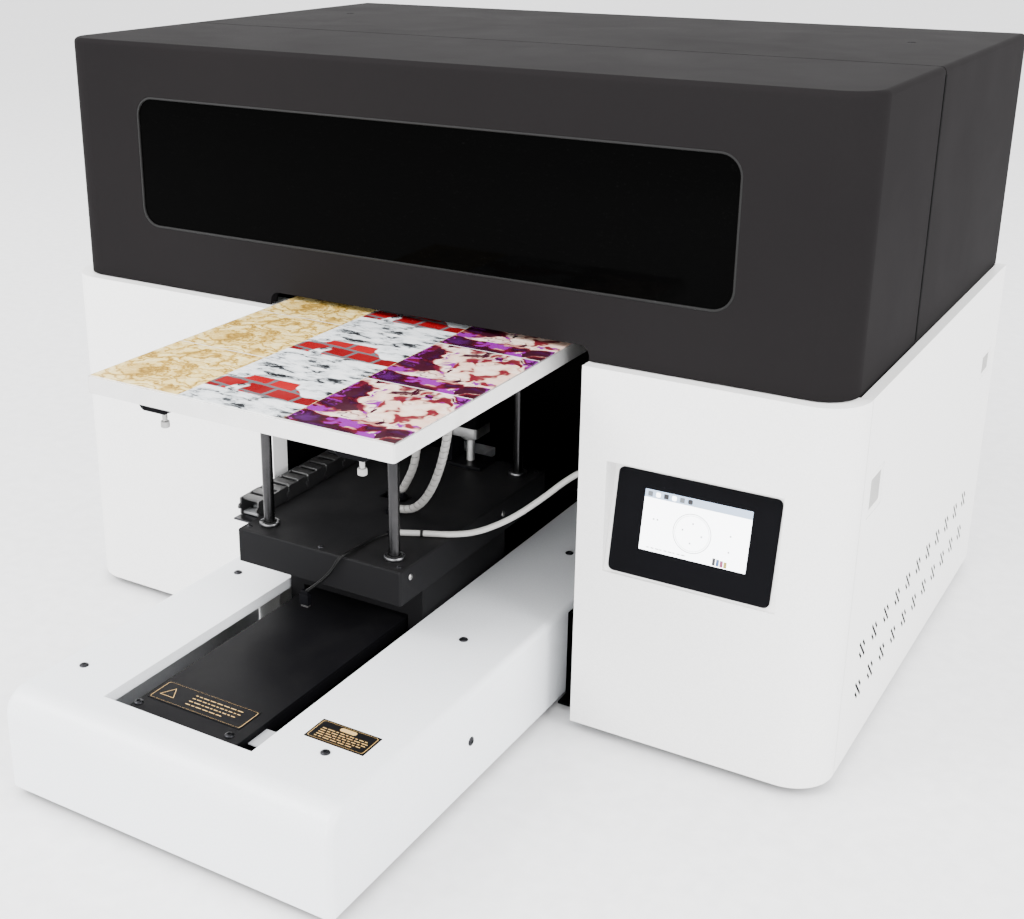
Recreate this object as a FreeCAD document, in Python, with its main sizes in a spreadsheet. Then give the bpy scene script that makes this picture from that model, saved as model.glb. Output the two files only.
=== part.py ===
"""Flatbed UV printer as separate parts. Millimetres, +Z up, -Y is the front, origin under the centre."""

import FreeCAD, Part
import math
import os
import re

import Sketcher

DIMENSIONS = {
    # casing
    "button_radius": 4.75, "button_height": 2.8, "button_seat": 0.6, "bar_size": 30, "bar_top": 407,
    "foot_height": 8, "foot_radius": 18, "foot_x": 430, "foot_front": -70, "foot_back": 470, "sheet_gauge": 2,
    "body_half": 482.5, "body_front": -122.5, "body_back": 514, "body_base": 10, "body_top": 409,
    "body_corner": 45, "cover_seam": -75, "pan_gauge": 3,
    "hood_half": 470, "hood_front": -110, "hood_back": 516, "hood_base": 410, "hood_top": 686,
    "hood_corner": 36, "hood_edge": 6, "hood_seam": 118, "seam_gap": 2.5,
    "window_left": -361, "window_right": 357, "window_base": 478, "window_top": 627,
    "window_corner": 23, "pane_gauge": 3, "pane_lap": 8,
    "notch_left": -179, "notch_right": 213, "notch_top": 425, "notch_corner": 11,
    # bay between the two pods
    "bay_left": -175, "bay_right": 212, "bay_return": 26, "bay_back": 500, "bay_base": 12, "bay_top": 405,
    "gland_station": -84, "gland_height": 283, "gland_flange": 9, "gland_neck": 5.9, "gland_hole": 6,
    # tray in front, with its slot for the carriage
    "tray_left": -208, "tray_right": 181, "tray_front": -516, "tray_top": 114, "tray_back": 300,
    "tray_nose": 26, "tray_side": 7, "tray_wall_back": -71,
    "slot_left": -118.5, "slot_right": 62, "slot_front": -469, "slot_lip": 12,
    # operator panel on the right pod
    "panel_left": 242, "panel_right": 423, "panel_base": 195, "panel_top": 315,
    "panel_shallow": 3, "panel_deep": 25,
    "bezel_width": 169, "bezel_height": 108, "bezel_gauge": 2.5, "bezel_left": 247,
    "screen_width": 111, "screen_height": 62, "screen_left": 278, "screen_rise": 29, "screen_gauge": 0.6,
    # lift-off side panel
    "latch_height": 44, "latch_width": 48, "latch_front": -55, "latch_base": 282, "latch_rear": 434,
    "latch_gap": 0.5, "vent_pitch": 44.5, "vent_count": 11, "vent_start": -13, "vent_run": 23,
    "vent_step": 5, "vent_thick": 1.2, "vent_low": 77, "vent_high": 123,
    # bed travel axis
    "axis_centre": -28, "plate_half": 66, "plate_top": 108, "plate_gauge": 3, "plate_front": -462,
    "beam_half": 93, "beam_front": -452, "beam_base": 11, "beam_height": 25,
    "rail_offset": 78.5, "rail_size": 15, "rail_front": -440, "rail_back": 480,
    "spindle_radius": 8, "journal_radius": 6, "spindle_height": 70, "running_gap": 0.08,
    "spindle_front": -436.5, "spindle_back": 395.5, "motor_size": 56,
    # carriage and lifting gear
    "box_half": 104, "box_front": -243, "box_back": 73, "box_base": 162, "box_top": 200, "box_wall": 3,
    "saddle_half": 87.5, "saddle_front": -175, "saddle_back": 5, "saddle_leg": 18.5, "saddle_base": 66,
    "rod_radius": 6, "rod_offset": 80.5, "rod_front": -217, "rod_back": 47, "rod_base": 160,
    "bush_radius": 8, "flange_radius": 11, "flange_height": 4,
    "lift_offset": -78, "lift_station": 20, "lift_radius": 5,
    "stepper_size": 35, "stepper_offset": 15, "stepper_station": 50, "stepper_base": 238,
    "stepper_height": 48,
    # bed
    "bed_left": -157, "bed_right": 186, "bed_front": -418, "bed_back": 82, "bed_base": 402,
    "bed_gauge": 16.2, "media_gauge": 0.8,
    "level_left": -95, "level_right": 130, "level_front": -383, "level_back": -20, "pad_drop": 18,
    "knob_radius": 4.4, "stud_radius": 2.5,
    # head axis
    "gantry_half": 440, "gantry_front": 70, "gantry_back": 130, "gantry_base": 500, "gantry_top": 580,
    "head_home": 300, "head_half": 90, "head_front": -18, "head_base": 424,
    "hinge_station": 99, "hinge_height": 678, "hinge_offset": 300, "pin_radius": 3, "knuckle_radius": 5.5,
    # equipment in the pods
    "inlet_left": 360, "inlet_right": 410, "inlet_base": 50, "inlet_top": 130, "switch_height": 109,
    "shelf_base": 284, "shelf_gauge": 5, "bottle_half": 25, "bottle_height": 96, "board_base": 20,
    # flexible parts
    "chain_left": -161, "chain_right": -133, "chain_front": -204, "chain_bend": 51, "chain_fixed": -124,
    "chain_top": 215, "chain_link": 20,
    "cable_radius": 3.25, "hose_radius": 4.5, "wire_radius": 1.5,
}

PLANES = {"XY": "XY_Plane", "XZ": "XZ_Plane", "YZ": "YZ_Plane"}
NODES = {}

doc = FreeCAD.newDocument("flatbed_uv_printer")
dim = doc.addObject("Spreadsheet::Sheet", "dim")
for row, (alias, size) in enumerate(DIMENSIONS.items(), start=1):
    dim.set(f"A{row}", alias)
    dim.set(f"B{row}", str(size))
    dim.setAlias(f"B{row}", alias)
doc.recompute()


def bound(text):
    """An expression in the sheet's aliases, as FreeCAD writes it."""
    return re.sub(r"[a-z_]+", r"dim.\g<0>", str(text))


def size(text):
    """The present value of such an expression."""
    result = dim.evalExpression(bound(text))
    return float(getattr(result, "Value", result))


def place(item, x, y, z, rotation=None):
    if rotation is not None:
        item.Placement = FreeCAD.Placement(FreeCAD.Vector(), rotation)
    for axis, text in zip("xyz", (x, y, z)):
        item.setExpression(f"Placement.Base.{axis}", bound(text))


def box(name, x, y, z):
    """A block between three pairs of limits."""
    item = doc.addObject("Part::Box", name)
    for side, (low, high) in zip(("Length", "Width", "Height"), (x, y, z)):
        item.setExpression(side, f"({bound(high)}) - ({bound(low)})")
    place(item, x[0], y[0], z[0])
    return item


TURNS = {"X": (0, 1, 0, 90), "Y": (1, 0, 0, -90), "Z": (0, 0, 1, 0)}


def rod(name, axis, start, radius, length):
    """A cylinder that runs from its start along a main axis."""
    item = doc.addObject("Part::Cylinder", name)
    item.setExpression("Radius", bound(radius))
    item.setExpression("Height", bound(length))
    *direction, angle = TURNS[axis]
    place(item, *start, FreeCAD.Rotation(FreeCAD.Vector(*direction), angle))
    return item


def join(name, *pieces):
    item = doc.addObject("Part::MultiFuse", name)
    item.Shapes = list(pieces)
    item.Refine = True
    return item


def group(name, *pieces):
    item = doc.addObject("Part::Compound", name)
    item.Links = list(pieces)
    return item


def cut(name, base, *tools):
    item = doc.addObject("Part::Cut", name)
    item.Base = base
    item.Tool = tools[0] if len(tools) == 1 else group(name + "_tools", *tools)
    return item


def along(edge, axis):
    start, end = edge.Vertexes[0].Point, edge.Vertexes[-1].Point
    run = end - start
    return run.Length > 0 and abs(getattr(run, axis)) > 0.999 * run.Length


def soften(name, base, radius, pick):
    """Rounds the edges of base that pick accepts."""
    doc.recompute()
    item = doc.addObject("Part::Fillet", name)
    item.Base = base
    length = size(radius)
    item.Edges = [(i, length, length) for i, e in enumerate(base.Shape.Edges, 1) if pick(e)]
    return item


def sketch(body, plane, outline, offset):
    """A closed outline whose every corner is held by the sheet."""
    item = body.newObject("Sketcher::SketchObject", "outline")
    face = next(f for f in body.Origin.OriginFeatures if f.Role == PLANES[plane])
    item.AttachmentSupport = [(face, "")]
    item.MapMode = "FlatFace"
    item.setExpression("AttachmentOffset.Base.z", bound(offset))
    corners = [FreeCAD.Vector(size(u), size(v), 0) for u, v in outline]
    for index, corner in enumerate(corners):
        after = corners[(index + 1) % len(corners)]
        item.addGeometry(Part.LineSegment(corner, after))
    for index, (u, v) in enumerate(outline):
        item.addConstraint(Sketcher.Constraint("Coincident", index, 1, (index - 1) % len(corners), 2))
        for kind, text in (("DistanceX", u), ("DistanceY", v)):
            number = item.addConstraint(Sketcher.Constraint(kind, index, 1, size(text)))
            item.setExpression(f"Constraints[{number}]", bound(text))
    return item


def prism(name, plane, outline, start, length):
    """A body padded from an outline; on XZ the pad runs towards -Y."""
    body = doc.addObject("PartDesign::Body", name)
    pad = body.newObject("PartDesign::Pad", "pad")
    pad.Profile = sketch(body, plane, outline, start)
    pad.setExpression("Length", bound(length))
    body.Tip = pad
    return body


def pocket(body, plane, outline, start, length):
    """Cuts an outline out of a body, along the plane's normal."""
    doc.recompute()
    before = body.Shape.Volume
    item = body.newObject("PartDesign::Pocket", "pocket")
    item.Profile = sketch(body, plane, outline, start)
    item.setExpression("Length", bound(length))
    item.Reversed = True
    body.Tip = item
    doc.recompute()
    if not item.Shape.Volume < before - 1:
        raise RuntimeError(f"{body.Label}: a pocket cuts nothing")
    return item


def frame(left, right, low, high):
    """The four corners of a rectangle."""
    return [(left, low), (right, low), (right, high), (left, high)]


def keep(node, item):
    """Makes an object one of the exported parts."""
    item.Label = node
    NODES[node] = item
    return item


def tube(name, points, radius):
    """A round tube along straight runs joined by tangent arcs."""
    points = [FreeCAD.Vector(*p) for p in points]
    edges, start = [], points[0]
    for before, corner, after in zip(points, points[1:], points[2:]):
        back = (before - corner).normalize()
        ahead = (after - corner).normalize()
        turn = math.pi - back.getAngle(ahead)
        reach = 0.45 * min(before.distanceToPoint(corner), corner.distanceToPoint(after))
        bend = reach / math.tan(turn / 2)
        print(f"{name}: bend radius {bend:.1f}")
        middle = (back + ahead).normalize()
        centre = corner + middle * math.hypot(bend, reach)
        first, last = corner + back * reach, corner + ahead * reach
        edges.append(Part.LineSegment(start, first).toShape())
        edges.append(Part.Arc(first, centre - middle * bend, last).toShape())
        start = last
    edges.append(Part.LineSegment(start, points[-1]).toShape())
    path = Part.Wire(edges)
    ring = Part.Wire(Part.makeCircle(size(radius), points[0], points[1] - points[0]))
    sweep = path.makePipeShell([ring], True, False)
    expected = math.pi * size(radius) ** 2 * path.Length
    if abs(sweep.Volume / expected - 1) > 0.02:
        raise RuntimeError(f"{name}: the tube's volume is wrong")
    item = doc.addObject("Part::Feature", name)
    item.Shape = sweep
    return item


# ---------------------------------------------------------------- base and tray

def build_feet():
    spots = [("-foot_x", "foot_front"), ("foot_x", "foot_front"),
             ("-foot_x", "foot_back"), ("foot_x", "foot_back"),
             ("tray_left + 28", "tray_front + 31"), ("tray_right - 28", "tray_front + 31")]
    feet = []
    for x, y in spots:
        foot = doc.addObject("Part::Cone", "foot")
        foot.setExpression("Radius1", bound("foot_radius - 4"))
        foot.setExpression("Radius2", bound("foot_radius"))
        foot.setExpression("Height", bound("foot_height"))
        place(foot, x, y, "0")
        feet.append(foot)
    keep("feet", group("feet", *feet))


def build_base_pan():
    inner, mouth = "hood_half - 2", "body_front - 1.5"
    outline = [(f"-({inner})", "-96"), ("bay_left + 3", "-96"), ("bay_left + 3", mouth),
               ("tray_left + 3", mouth), ("tray_left + 3", "tray_front + 3"),
               ("tray_right - 3", "tray_front + 3"), ("tray_right - 3", "tray_wall_back + 1"),
               ("tray_right + 3", "tray_wall_back + 1"), ("tray_right + 3", "-96"),
               (inner, "-96"), (inner, "body_back - 4"), (f"-({inner})", "body_back - 4")]
    keep("base_pan", prism("base_pan", "XY", outline, "foot_height", "pan_gauge"))


def tray_block(name, inset, base, front, back):
    """The tray's outside, or its inside when inset by the gauge."""
    nose = f"(tray_nose - {inset})"
    top = f"tray_top - {inset}"
    outline = [(front, base), (back, base), (back, top), (front, top)]
    block = prism(name, "YZ", outline, f"tray_left + {inset}", f"tray_right - tray_left - 2 * {inset}")
    doc.recompute()
    rounded = soften(name + "_nose", block, nose,
                     lambda e: along(e, "x") and e.CenterOfMass.y < size(front) + 1
                     and e.CenterOfMass.z > size(top) - 1)
    doc.recompute()
    face_left, face_right = size(f"tray_left + {inset}"), size(f"tray_right - {inset}")

    def side(e):
        middle = e.CenterOfMass
        flank = abs(middle.x - face_left) < 0.1 or abs(middle.x - face_right) < 0.1
        return flank and middle.z > size(base) + 1 and middle.y < size(back) - 1

    return soften(name + "_sides", rounded, f"tray_side - {inset}", side)


def build_tray():
    outer = tray_block("tray_outer", "0", "body_base", "tray_front", "tray_back")
    inner = tray_block("tray_inner", "sheet_gauge", "body_base - 5", "tray_front + sheet_gauge",
                       "tray_back + 5")
    lip = box("slot_lip", ("slot_left - sheet_gauge", "slot_right + sheet_gauge"),
              ("slot_front - sheet_gauge", "tray_back"),
              ("tray_top - slot_lip", "tray_top - sheet_gauge / 2"))
    cavities = [
        box("slot", ("slot_left", "slot_right"), ("slot_front", "tray_back + 5"),
            ("body_base", "tray_top + 5")),
        box("pod_clearance", ("tray_left - 5", "bay_left + 1.5"), ("body_front - 1.5", "tray_back + 5"),
            ("0", "tray_top + 5")),
        box("wall_end", ("tray_right - 8", "tray_right + 5"), ("tray_wall_back", "tray_back + 5"),
            ("0", "tray_top - tray_side")),
    ]
    shell = join("tray_lipped", cut("tray_shell", outer, inner), lip)
    for number, cavity in enumerate(cavities):
        shell = cut(f"tray_stage_{number}", shell, cavity)
    keep("tray_cover", sink_screws(shell, "tray_top"))


SCREW_SPOTS = [  # centre and height of the surface under each button head
    ("-177", "-193", "tray_top"), ("-177", "-436", "tray_top"), ("120", "-436", "tray_top"),
    ("121", "-193", "tray_top"), ("122", "49", "tray_top"),
    ("-90", "-452", "plate_top"), ("22", "-452", "plate_top"),
    ("-373", "334", "hood_top"), ("382", "334", "hood_top"),
]
SEAT_DEPTH = {"tray_top": "button_seat", "plate_top": "button_seat", "hood_top": "button_height"}


def build_screws():
    screws = []
    for x, y, z in SCREW_SPOTS:
        screws.append(rod("head", "Z", (x, y, f"{z} - {SEAT_DEPTH[z]}"), "button_radius", "button_height"))
    keep("cover_screws", group("cover_screws", *screws))


def sink_screws(shell, level):
    """Cuts the seats of the button heads that stand on one surface."""
    seats = [rod("seat", "Z", (x, y, f"{z} - {SEAT_DEPTH[z]}"), "button_radius", "5")
             for x, y, z in SCREW_SPOTS if z == level]
    return cut(shell.Name + "_seats", shell, *seats)


# ---------------------------------------------------------------- lower casing

def front_cover(name, inner_x, outer_x, side):
    """A wrap-round cover: front wall, rounded outer corner, top shelf and a return beside the bay."""
    low, high = sorted((inner_x, outer_x), key=size)
    gauge = "sheet_gauge"
    corner_x = size(outer_x)
    outer = box(name + "_outer", (low, high), ("body_front", "cover_seam - 0.5"), ("body_base", "body_top"))

    def corner(x):
        return lambda e: along(e, "z") and abs(e.CenterOfMass.x - x) < 0.1 and e.CenterOfMass.y < -100

    outer = soften(name + "_round", outer, "body_corner", corner(corner_x))
    inner = box(name + "_inner", (f"{low} + {gauge}", f"{high} - {gauge}"),
                (f"body_front + {gauge}", "cover_seam + 5"), ("body_base - 5", f"body_top - {gauge}"))
    inner = soften(name + "_hollow", inner, f"body_corner - {gauge}", corner(corner_x - side * size(gauge)))
    mouth = box(name + "_mouth", (f"{inner_x} - 3", f"{inner_x} + 3"),
                ("body_front + bay_return", "cover_seam + 5"), ("body_base - 5", "body_top + 5"))
    return cut(name + "_open", cut(name + "_shell", outer, inner), mouth)


def panel_pocket(grow):
    """The leaning recess behind the operator panel, or its walls when grown."""
    shallow = f"body_front + panel_shallow + {grow}"
    deep = f"body_front + panel_deep + {grow}"
    face = "body_front + 1" if grow != "0" else "body_front - 5"
    outline = [(face, f"panel_base - {grow}"), (shallow, f"panel_base - {grow}"),
               (deep, f"panel_top + {grow}"), (face, f"panel_top + {grow}")]
    return prism("pocket_" + grow[:1], "YZ", outline, f"panel_left - {grow}",
                 f"panel_right - panel_left + 2 * {grow}")


def build_front_covers():
    keep("left_front_cover", front_cover("left_cover", "bay_left", "-body_half", -1))
    plain = front_cover("right_cover", "bay_right", "body_half", 1)
    walled = join("right_cover_walled", plain, panel_pocket("sheet_gauge"))
    keep("right_front_cover", cut("right_front_cover", walled, panel_pocket("0")))


def lean():
    """The angle by which the operator panel leans back from the vertical."""
    return math.degrees(math.atan2(size("panel_deep - panel_shallow"), size("panel_top - panel_base")))


def leaning_plate(name, left, rise, width, height, lift, gauge):
    """A plate parallel to the recess's floor; lift is how far its back stands off that floor."""
    turn = FreeCAD.Rotation(FreeCAD.Vector(1, 0, 0), -lean())
    item = doc.addObject("Part::Box", name)
    for side, text in zip(("Length", "Width", "Height"), (width, gauge, height)):
        item.setExpression(side, bound(text))
    foot = FreeCAD.Vector(size(left), size("body_front + panel_shallow"), size("panel_base"))
    offset = turn.multVec(FreeCAD.Vector(0, -size(f"{lift} + {gauge}"), size(rise)))
    item.Placement = FreeCAD.Placement(foot + offset, turn)
    return item


def build_operator_panel():
    bezel = leaning_plate("bezel", "bezel_left", "2.5", "bezel_width", "bezel_height", "0", "bezel_gauge")
    bezel = soften("bezel_round", bezel, "6",
                   lambda e: e.Length < size("bezel_gauge") + 0.1)
    keep("hmi_bezel", bezel)
    keep("hmi_screen", leaning_plate("screen", "screen_left", "2.5 + screen_rise", "screen_width",
                                     "screen_height", "bezel_gauge", "screen_gauge"))


VENT_SLOTS = [(-1, 0.42), (0, 1), (1, 0.42)]  # side of the middle slot, and share of its length


def vent_slot(level, side, share):
    """The outline of a slot that slants at 45 degrees, down towards the back."""
    y, z = f"vent_start + {side} * vent_step", f"{level} + {side} * vent_step"
    reach = f"{share} * vent_run / 2"
    return [(f"{y} - {reach} - vent_thick", f"{z} + {reach} - vent_thick"),
            (f"{y} + {reach} - vent_thick", f"{z} - {reach} - vent_thick"),
            (f"{y} + {reach} + vent_thick", f"{z} - {reach} + vent_thick"),
            (f"{y} - {reach} + vent_thick", f"{z} + {reach} + vent_thick")]


def side_panel(name, wall_x, lip_x):
    """A vented side panel with folded lips at its top and foot."""
    low, high = "cover_seam + 0.5", "body_back - 2.5"
    panel = prism(name, "YZ", frame(low, high, "body_base", "body_top"), wall_x, "sheet_gauge")
    for level in ("body_top - sheet_gauge", "body_base"):
        lip = panel.newObject("PartDesign::Pad", "lip")
        lip.Profile = sketch(panel, "XY", frame(lip_x, f"{lip_x} + 11.5", low, high), level)
        lip.setExpression("Length", bound("sheet_gauge"))
        panel.Tip = lip
    for level in ("vent_low", "vent_high"):
        for side, share in VENT_SLOTS:
            slot = pocket(panel, "YZ", vent_slot(level, side, share), f"{wall_x} - 3", "sheet_gauge + 6")
            row = panel.newObject("PartDesign::LinearPattern", "row")
            row.Originals = [slot]
            row.Direction = (slot.Profile[0], ["H_Axis"])
            row.setExpression("Length", bound("vent_pitch * (vent_count - 1)"))
            row.setExpression("Occurrences", bound("vent_count"))
            panel.Tip = row
    return panel


LATCHES = {"front_latch": ("latch_front", "latch_base", "latch_height"),
           "rear_latch": ("latch_rear", "latch_base - 1", "latch_height - 14")}


def build_side_panels():
    keep("left_side_panel", side_panel("left_side_panel", "-body_half", "-body_half"))
    right = side_panel("right_side_panel", "body_half - sheet_gauge", "body_half - 11.5")
    for low, base, height in LATCHES.values():
        window = frame(low, f"{low} + latch_width", base, f"{base} + {height}")
        pocket(right, "YZ", window, "body_half - 6", "12")
    keep("right_side_panel", right)
    for node, (low, base, height) in LATCHES.items():
        hinge = f"{base} + {height} - latch_gap - sheet_gauge / 2"
        outline = frame(f"{low} + latch_gap", f"{low} + latch_width - latch_gap",
                        f"{base} + latch_gap", hinge)
        flap = prism("flap", "YZ", outline, "body_half - sheet_gauge", "sheet_gauge")
        bead = rod("hinge_bead", "Y", ("body_half - sheet_gauge / 2", f"{low} + latch_gap", hinge),
                   "sheet_gauge / 2", "latch_width - 2 * latch_gap")
        keep(node, join(node, flap, bead))


def build_rear_panel():
    sheet = box("rear_sheet", ("-body_half + 3", "body_half - 3"), ("body_back - sheet_gauge", "body_back"),
                ("body_base", "body_top - sheet_gauge"))
    hole = box("inlet_hole", ("inlet_left + 2.5", "inlet_right - 2.5"), ("body_back - 5", "body_back + 5"),
               ("inlet_base + 2.5", "inlet_top - 2.5"))
    keep("rear_panel", cut("rear_panel", sheet, hole))


GLAND = ("gland_station", "gland_height")


def build_bay_liners():
    low, high = "body_front + bay_return + 0.5", "bay_back"
    left = box("left_liner", ("bay_left - sheet_gauge", "bay_left"), (low, high), ("bay_base", "bay_top"))
    right = box("right_liner", ("bay_right", "bay_right + sheet_gauge"), (low, high), ("bay_base", "bay_top"))
    hole = rod("gland_hole", "X", ("bay_right - 5", *GLAND), "gland_hole", "12")
    keep("bay_liners", group("bay_liners", left, cut("right_liner_cut", right, hole)))
    flange = rod("gland_flange", "X", ("bay_right - 5", *GLAND), "gland_flange", "5")
    neck = rod("gland_neck", "X", ("bay_right - 1", *GLAND), "gland_neck", "6")
    bore = rod("gland_bore", "X", ("bay_right - 6", *GLAND), "cable_radius + running_gap", "20")
    keep("cable_gland", cut("cable_gland", join("gland_body", flange, neck), bore))


def build_side_frames():
    """Square tubes that carry the covers of each pod."""
    sides = []
    for left, right in (("-hood_half + 2", "bay_left - 41"), ("bay_right + 4", "hood_half - 2")):
        bars = []
        for x in (left, f"{right} - bar_size"):
            for y in ("foot_front", "foot_back"):
                bars.append(box("post", (x, f"{x} + bar_size"), (y, f"{y} + bar_size"),
                                ("beam_base", "bar_top")))
            for z in ("beam_base", "bar_top - bar_size"):
                bars.append(box("rail", (x, f"{x} + bar_size"), ("foot_front", "bay_back"),
                                (z, f"{z} + bar_size")))
        for z in ("beam_base", "bar_top - bar_size"):
            bars.append(box("cross", (left, right), ("foot_back", "bay_back"), (z, f"{z} + bar_size")))
        sides.append(join("side_frame", *bars))
    keep("side_frames", group("side_frames", *sides))


# ---------------------------------------------------------------- hood

def build_hood_front():
    gauge = "sheet_gauge"

    def block(name, inset, base, back):
        raw = box(name, (f"-hood_half + {inset}", f"hood_half - {inset}"), (f"hood_front + {inset}", back),
                  (base, f"hood_top - {inset}"))
        upright = soften(name + "_corners", raw, f"hood_corner - {inset}",
                         lambda e: along(e, "z") and e.CenterOfMass.y < 0)
        return soften(name + "_edges", upright, f"hood_edge - {inset}",
                      lambda e: e.CenterOfMass.z > size(f"hood_top - {inset}") - 0.1
                      and e.CenterOfMass.y < size(back) - 0.1)

    shell = cut("hood_shell", block("hood_outer", "0", "hood_base", "hood_seam"),
                block("hood_inner", gauge, "hood_base - 5", "hood_seam + 5"))
    window = box("window_hole", ("window_left", "window_right"), ("hood_front - 5", "hood_front + 5"),
                 ("window_base", "window_top"))
    window = soften("window_round", window, "window_corner", lambda e: along(e, "y"))
    notch = box("notch_hole", ("notch_left", "notch_right"), ("hood_front - 5", "hood_front + 5"),
                ("hood_base - 30", "notch_top"))
    notch = soften("notch_round", notch, "notch_corner", lambda e: along(e, "y"))
    keep("hood_front_cover", cut("hood_front_cover", cut("hood_glazed", shell, window), notch))
    pane = box("pane", ("window_left - pane_lap", "window_right + pane_lap"),
               (f"hood_front + {gauge}", f"hood_front + {gauge} + pane_gauge"),
               ("window_base - pane_lap", "window_top + pane_lap"))
    keep("window_pane", soften("window_pane", pane, "window_corner", lambda e: along(e, "y")))


def build_hood_rear():
    outer = box("rear_outer", ("-hood_half", "hood_half"), ("hood_seam + seam_gap", "hood_back"),
                ("body_top", "hood_top"))
    outer = soften("rear_round", outer, "hood_edge",
                   lambda e: (along(e, "y") and e.CenterOfMass.z > 600)
                   or (along(e, "z") and e.CenterOfMass.y > 500)
                   or (along(e, "x") and e.CenterOfMass.y > 500 and e.CenterOfMass.z > 600))
    inner = box("rear_inner", ("-hood_half + sheet_gauge", "hood_half - sheet_gauge"),
                ("hood_seam", "hood_back - sheet_gauge"), ("body_top - 5", "hood_top - sheet_gauge"))
    inner = soften("rear_hollow", inner, "hood_edge - sheet_gauge",
                   lambda e: (along(e, "y") and e.CenterOfMass.z > 600)
                   or (along(e, "z") and e.CenterOfMass.y > 500)
                   or (along(e, "x") and e.CenterOfMass.y > 500 and e.CenterOfMass.z > 600))
    keep("hood_rear_cover", sink_screws(cut("rear_shell", outer, inner), "hood_top"))


def build_hinges():
    brackets, arms = [], []
    centre_z, centre_y = "hinge_height", "hinge_station"
    for x in ("-hinge_offset", "hinge_offset"):
        parts = []
        for start in (f"{x} - 16", f"{x} + 6"):
            parts.append(rod("ear", "X", (start, centre_y, centre_z), "knuckle_radius", "10"))
            parts.append(box("post", (start, f"{start} + 10"), (f"{centre_y} - 4.5", f"{centre_y} + 4.5"),
                             ("gantry_top", centre_z)))
        parts.append(rod("pin", "X", (f"{x} - 16", centre_y, centre_z), "pin_radius", "32"))
        brackets.append(join("bracket", *parts))
        knuckle = rod("knuckle", "X", (f"{x} - 5.5", centre_y, centre_z), "knuckle_radius", "11")
        leaf = box("leaf", (f"{x} - 5.5", f"{x} + 5.5"), (f"{centre_y} - 50", centre_y),
                   (f"{centre_z} + 3.5", "hood_top - sheet_gauge"))
        bore = rod("hinge_bore", "X", (f"{x} - 6", centre_y, centre_z), "pin_radius + running_gap", "12")
        arms.append(cut("arm", join("arm_body", knuckle, leaf), bore))
    keep("hinge_brackets", group("hinge_brackets", *brackets))
    keep("hinge_arms", group("hinge_arms", *arms))


# ---------------------------------------------------------------- bed travel axis

def build_travel_axis():
    centre = "axis_centre"
    keep("y_base_beam", box("y_base_beam", (f"{centre} - beam_half", f"{centre} + beam_half"),
                            ("beam_front", "bay_back"), ("beam_base", "beam_base + beam_height")))
    top = "beam_base + beam_height"
    rails = []
    for sign in ("-", "+"):
        middle = f"{centre} {sign} rail_offset"
        profile = [("half", 0), ("half", 5), ("waist", 7), ("waist", 9), ("half", 11), ("half", "rail_size")]
        reach = {"half": "rail_size / 2", "waist": "rail_size / 2 - 2"}
        right = [(f"{middle} + {reach[part]}", f"{top} + {rise}") for part, rise in profile]
        left = [(f"{middle} - ({reach[part]})", f"{top} + {rise}") for part, rise in reversed(profile)]
        outline = right + left
        rails.append(prism("rail", "XZ", outline, "-rail_back", "rail_back - rail_front"))
    keep("y_rails", group("y_rails", *rails))
    plate = box("plate", (f"{centre} - plate_half", f"{centre} + plate_half"), ("plate_front", "bay_back"),
                ("plate_top - plate_gauge", "plate_top"))
    keep("y_cover_plate", sink_screws(plate, "plate_top"))
    supports = []
    for low in ("spindle_front - 18.5", "spindle_back + 0.5"):
        block = box("support", (f"{centre} - 28", f"{centre} + 28"), (low, f"{low} + 18"),
                    (top, "plate_top - plate_gauge"))
        bore = rod("support_bore", "Y", (centre, f"{low} - 5", "spindle_height"),
                   "journal_radius + running_gap", "30")
        supports.append(cut("support_cut", block, bore))
    keep("screw_supports", group("screw_supports", *supports))
    half = "motor_size / 2"
    keep("y_motor", box("y_motor", (f"{centre} - {half}", f"{centre} + {half}"), ("440", "496"),
                        (f"spindle_height - {half}", f"spindle_height + {half}")))
    spindle = rod("spindle", "Y", (centre, "spindle_front", "spindle_height"), "spindle_radius",
                  "spindle_back - spindle_front")
    front = rod("front_journal", "Y", (centre, "spindle_front - 18", "spindle_height"),
                "journal_radius", "19")
    back = rod("back_journal", "Y", (centre, "spindle_back - 1", "spindle_height"),
               "journal_radius", "22")
    coupling = rod("coupling", "Y", (centre, "spindle_back + 20", "spindle_height"), "11", "23")
    keep("y_ballscrew", join("y_ballscrew", spindle, front, back, coupling))


# ---------------------------------------------------------------- carriage and lift

RODS = [(x, y) for x in ("axis_centre - rod_offset", "axis_centre + rod_offset")
        for y in ("rod_front", "rod_back")]
LIFT = ("axis_centre + lift_offset", "lift_station")
STEPPER = ("axis_centre + stepper_offset", "stepper_station")


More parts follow.
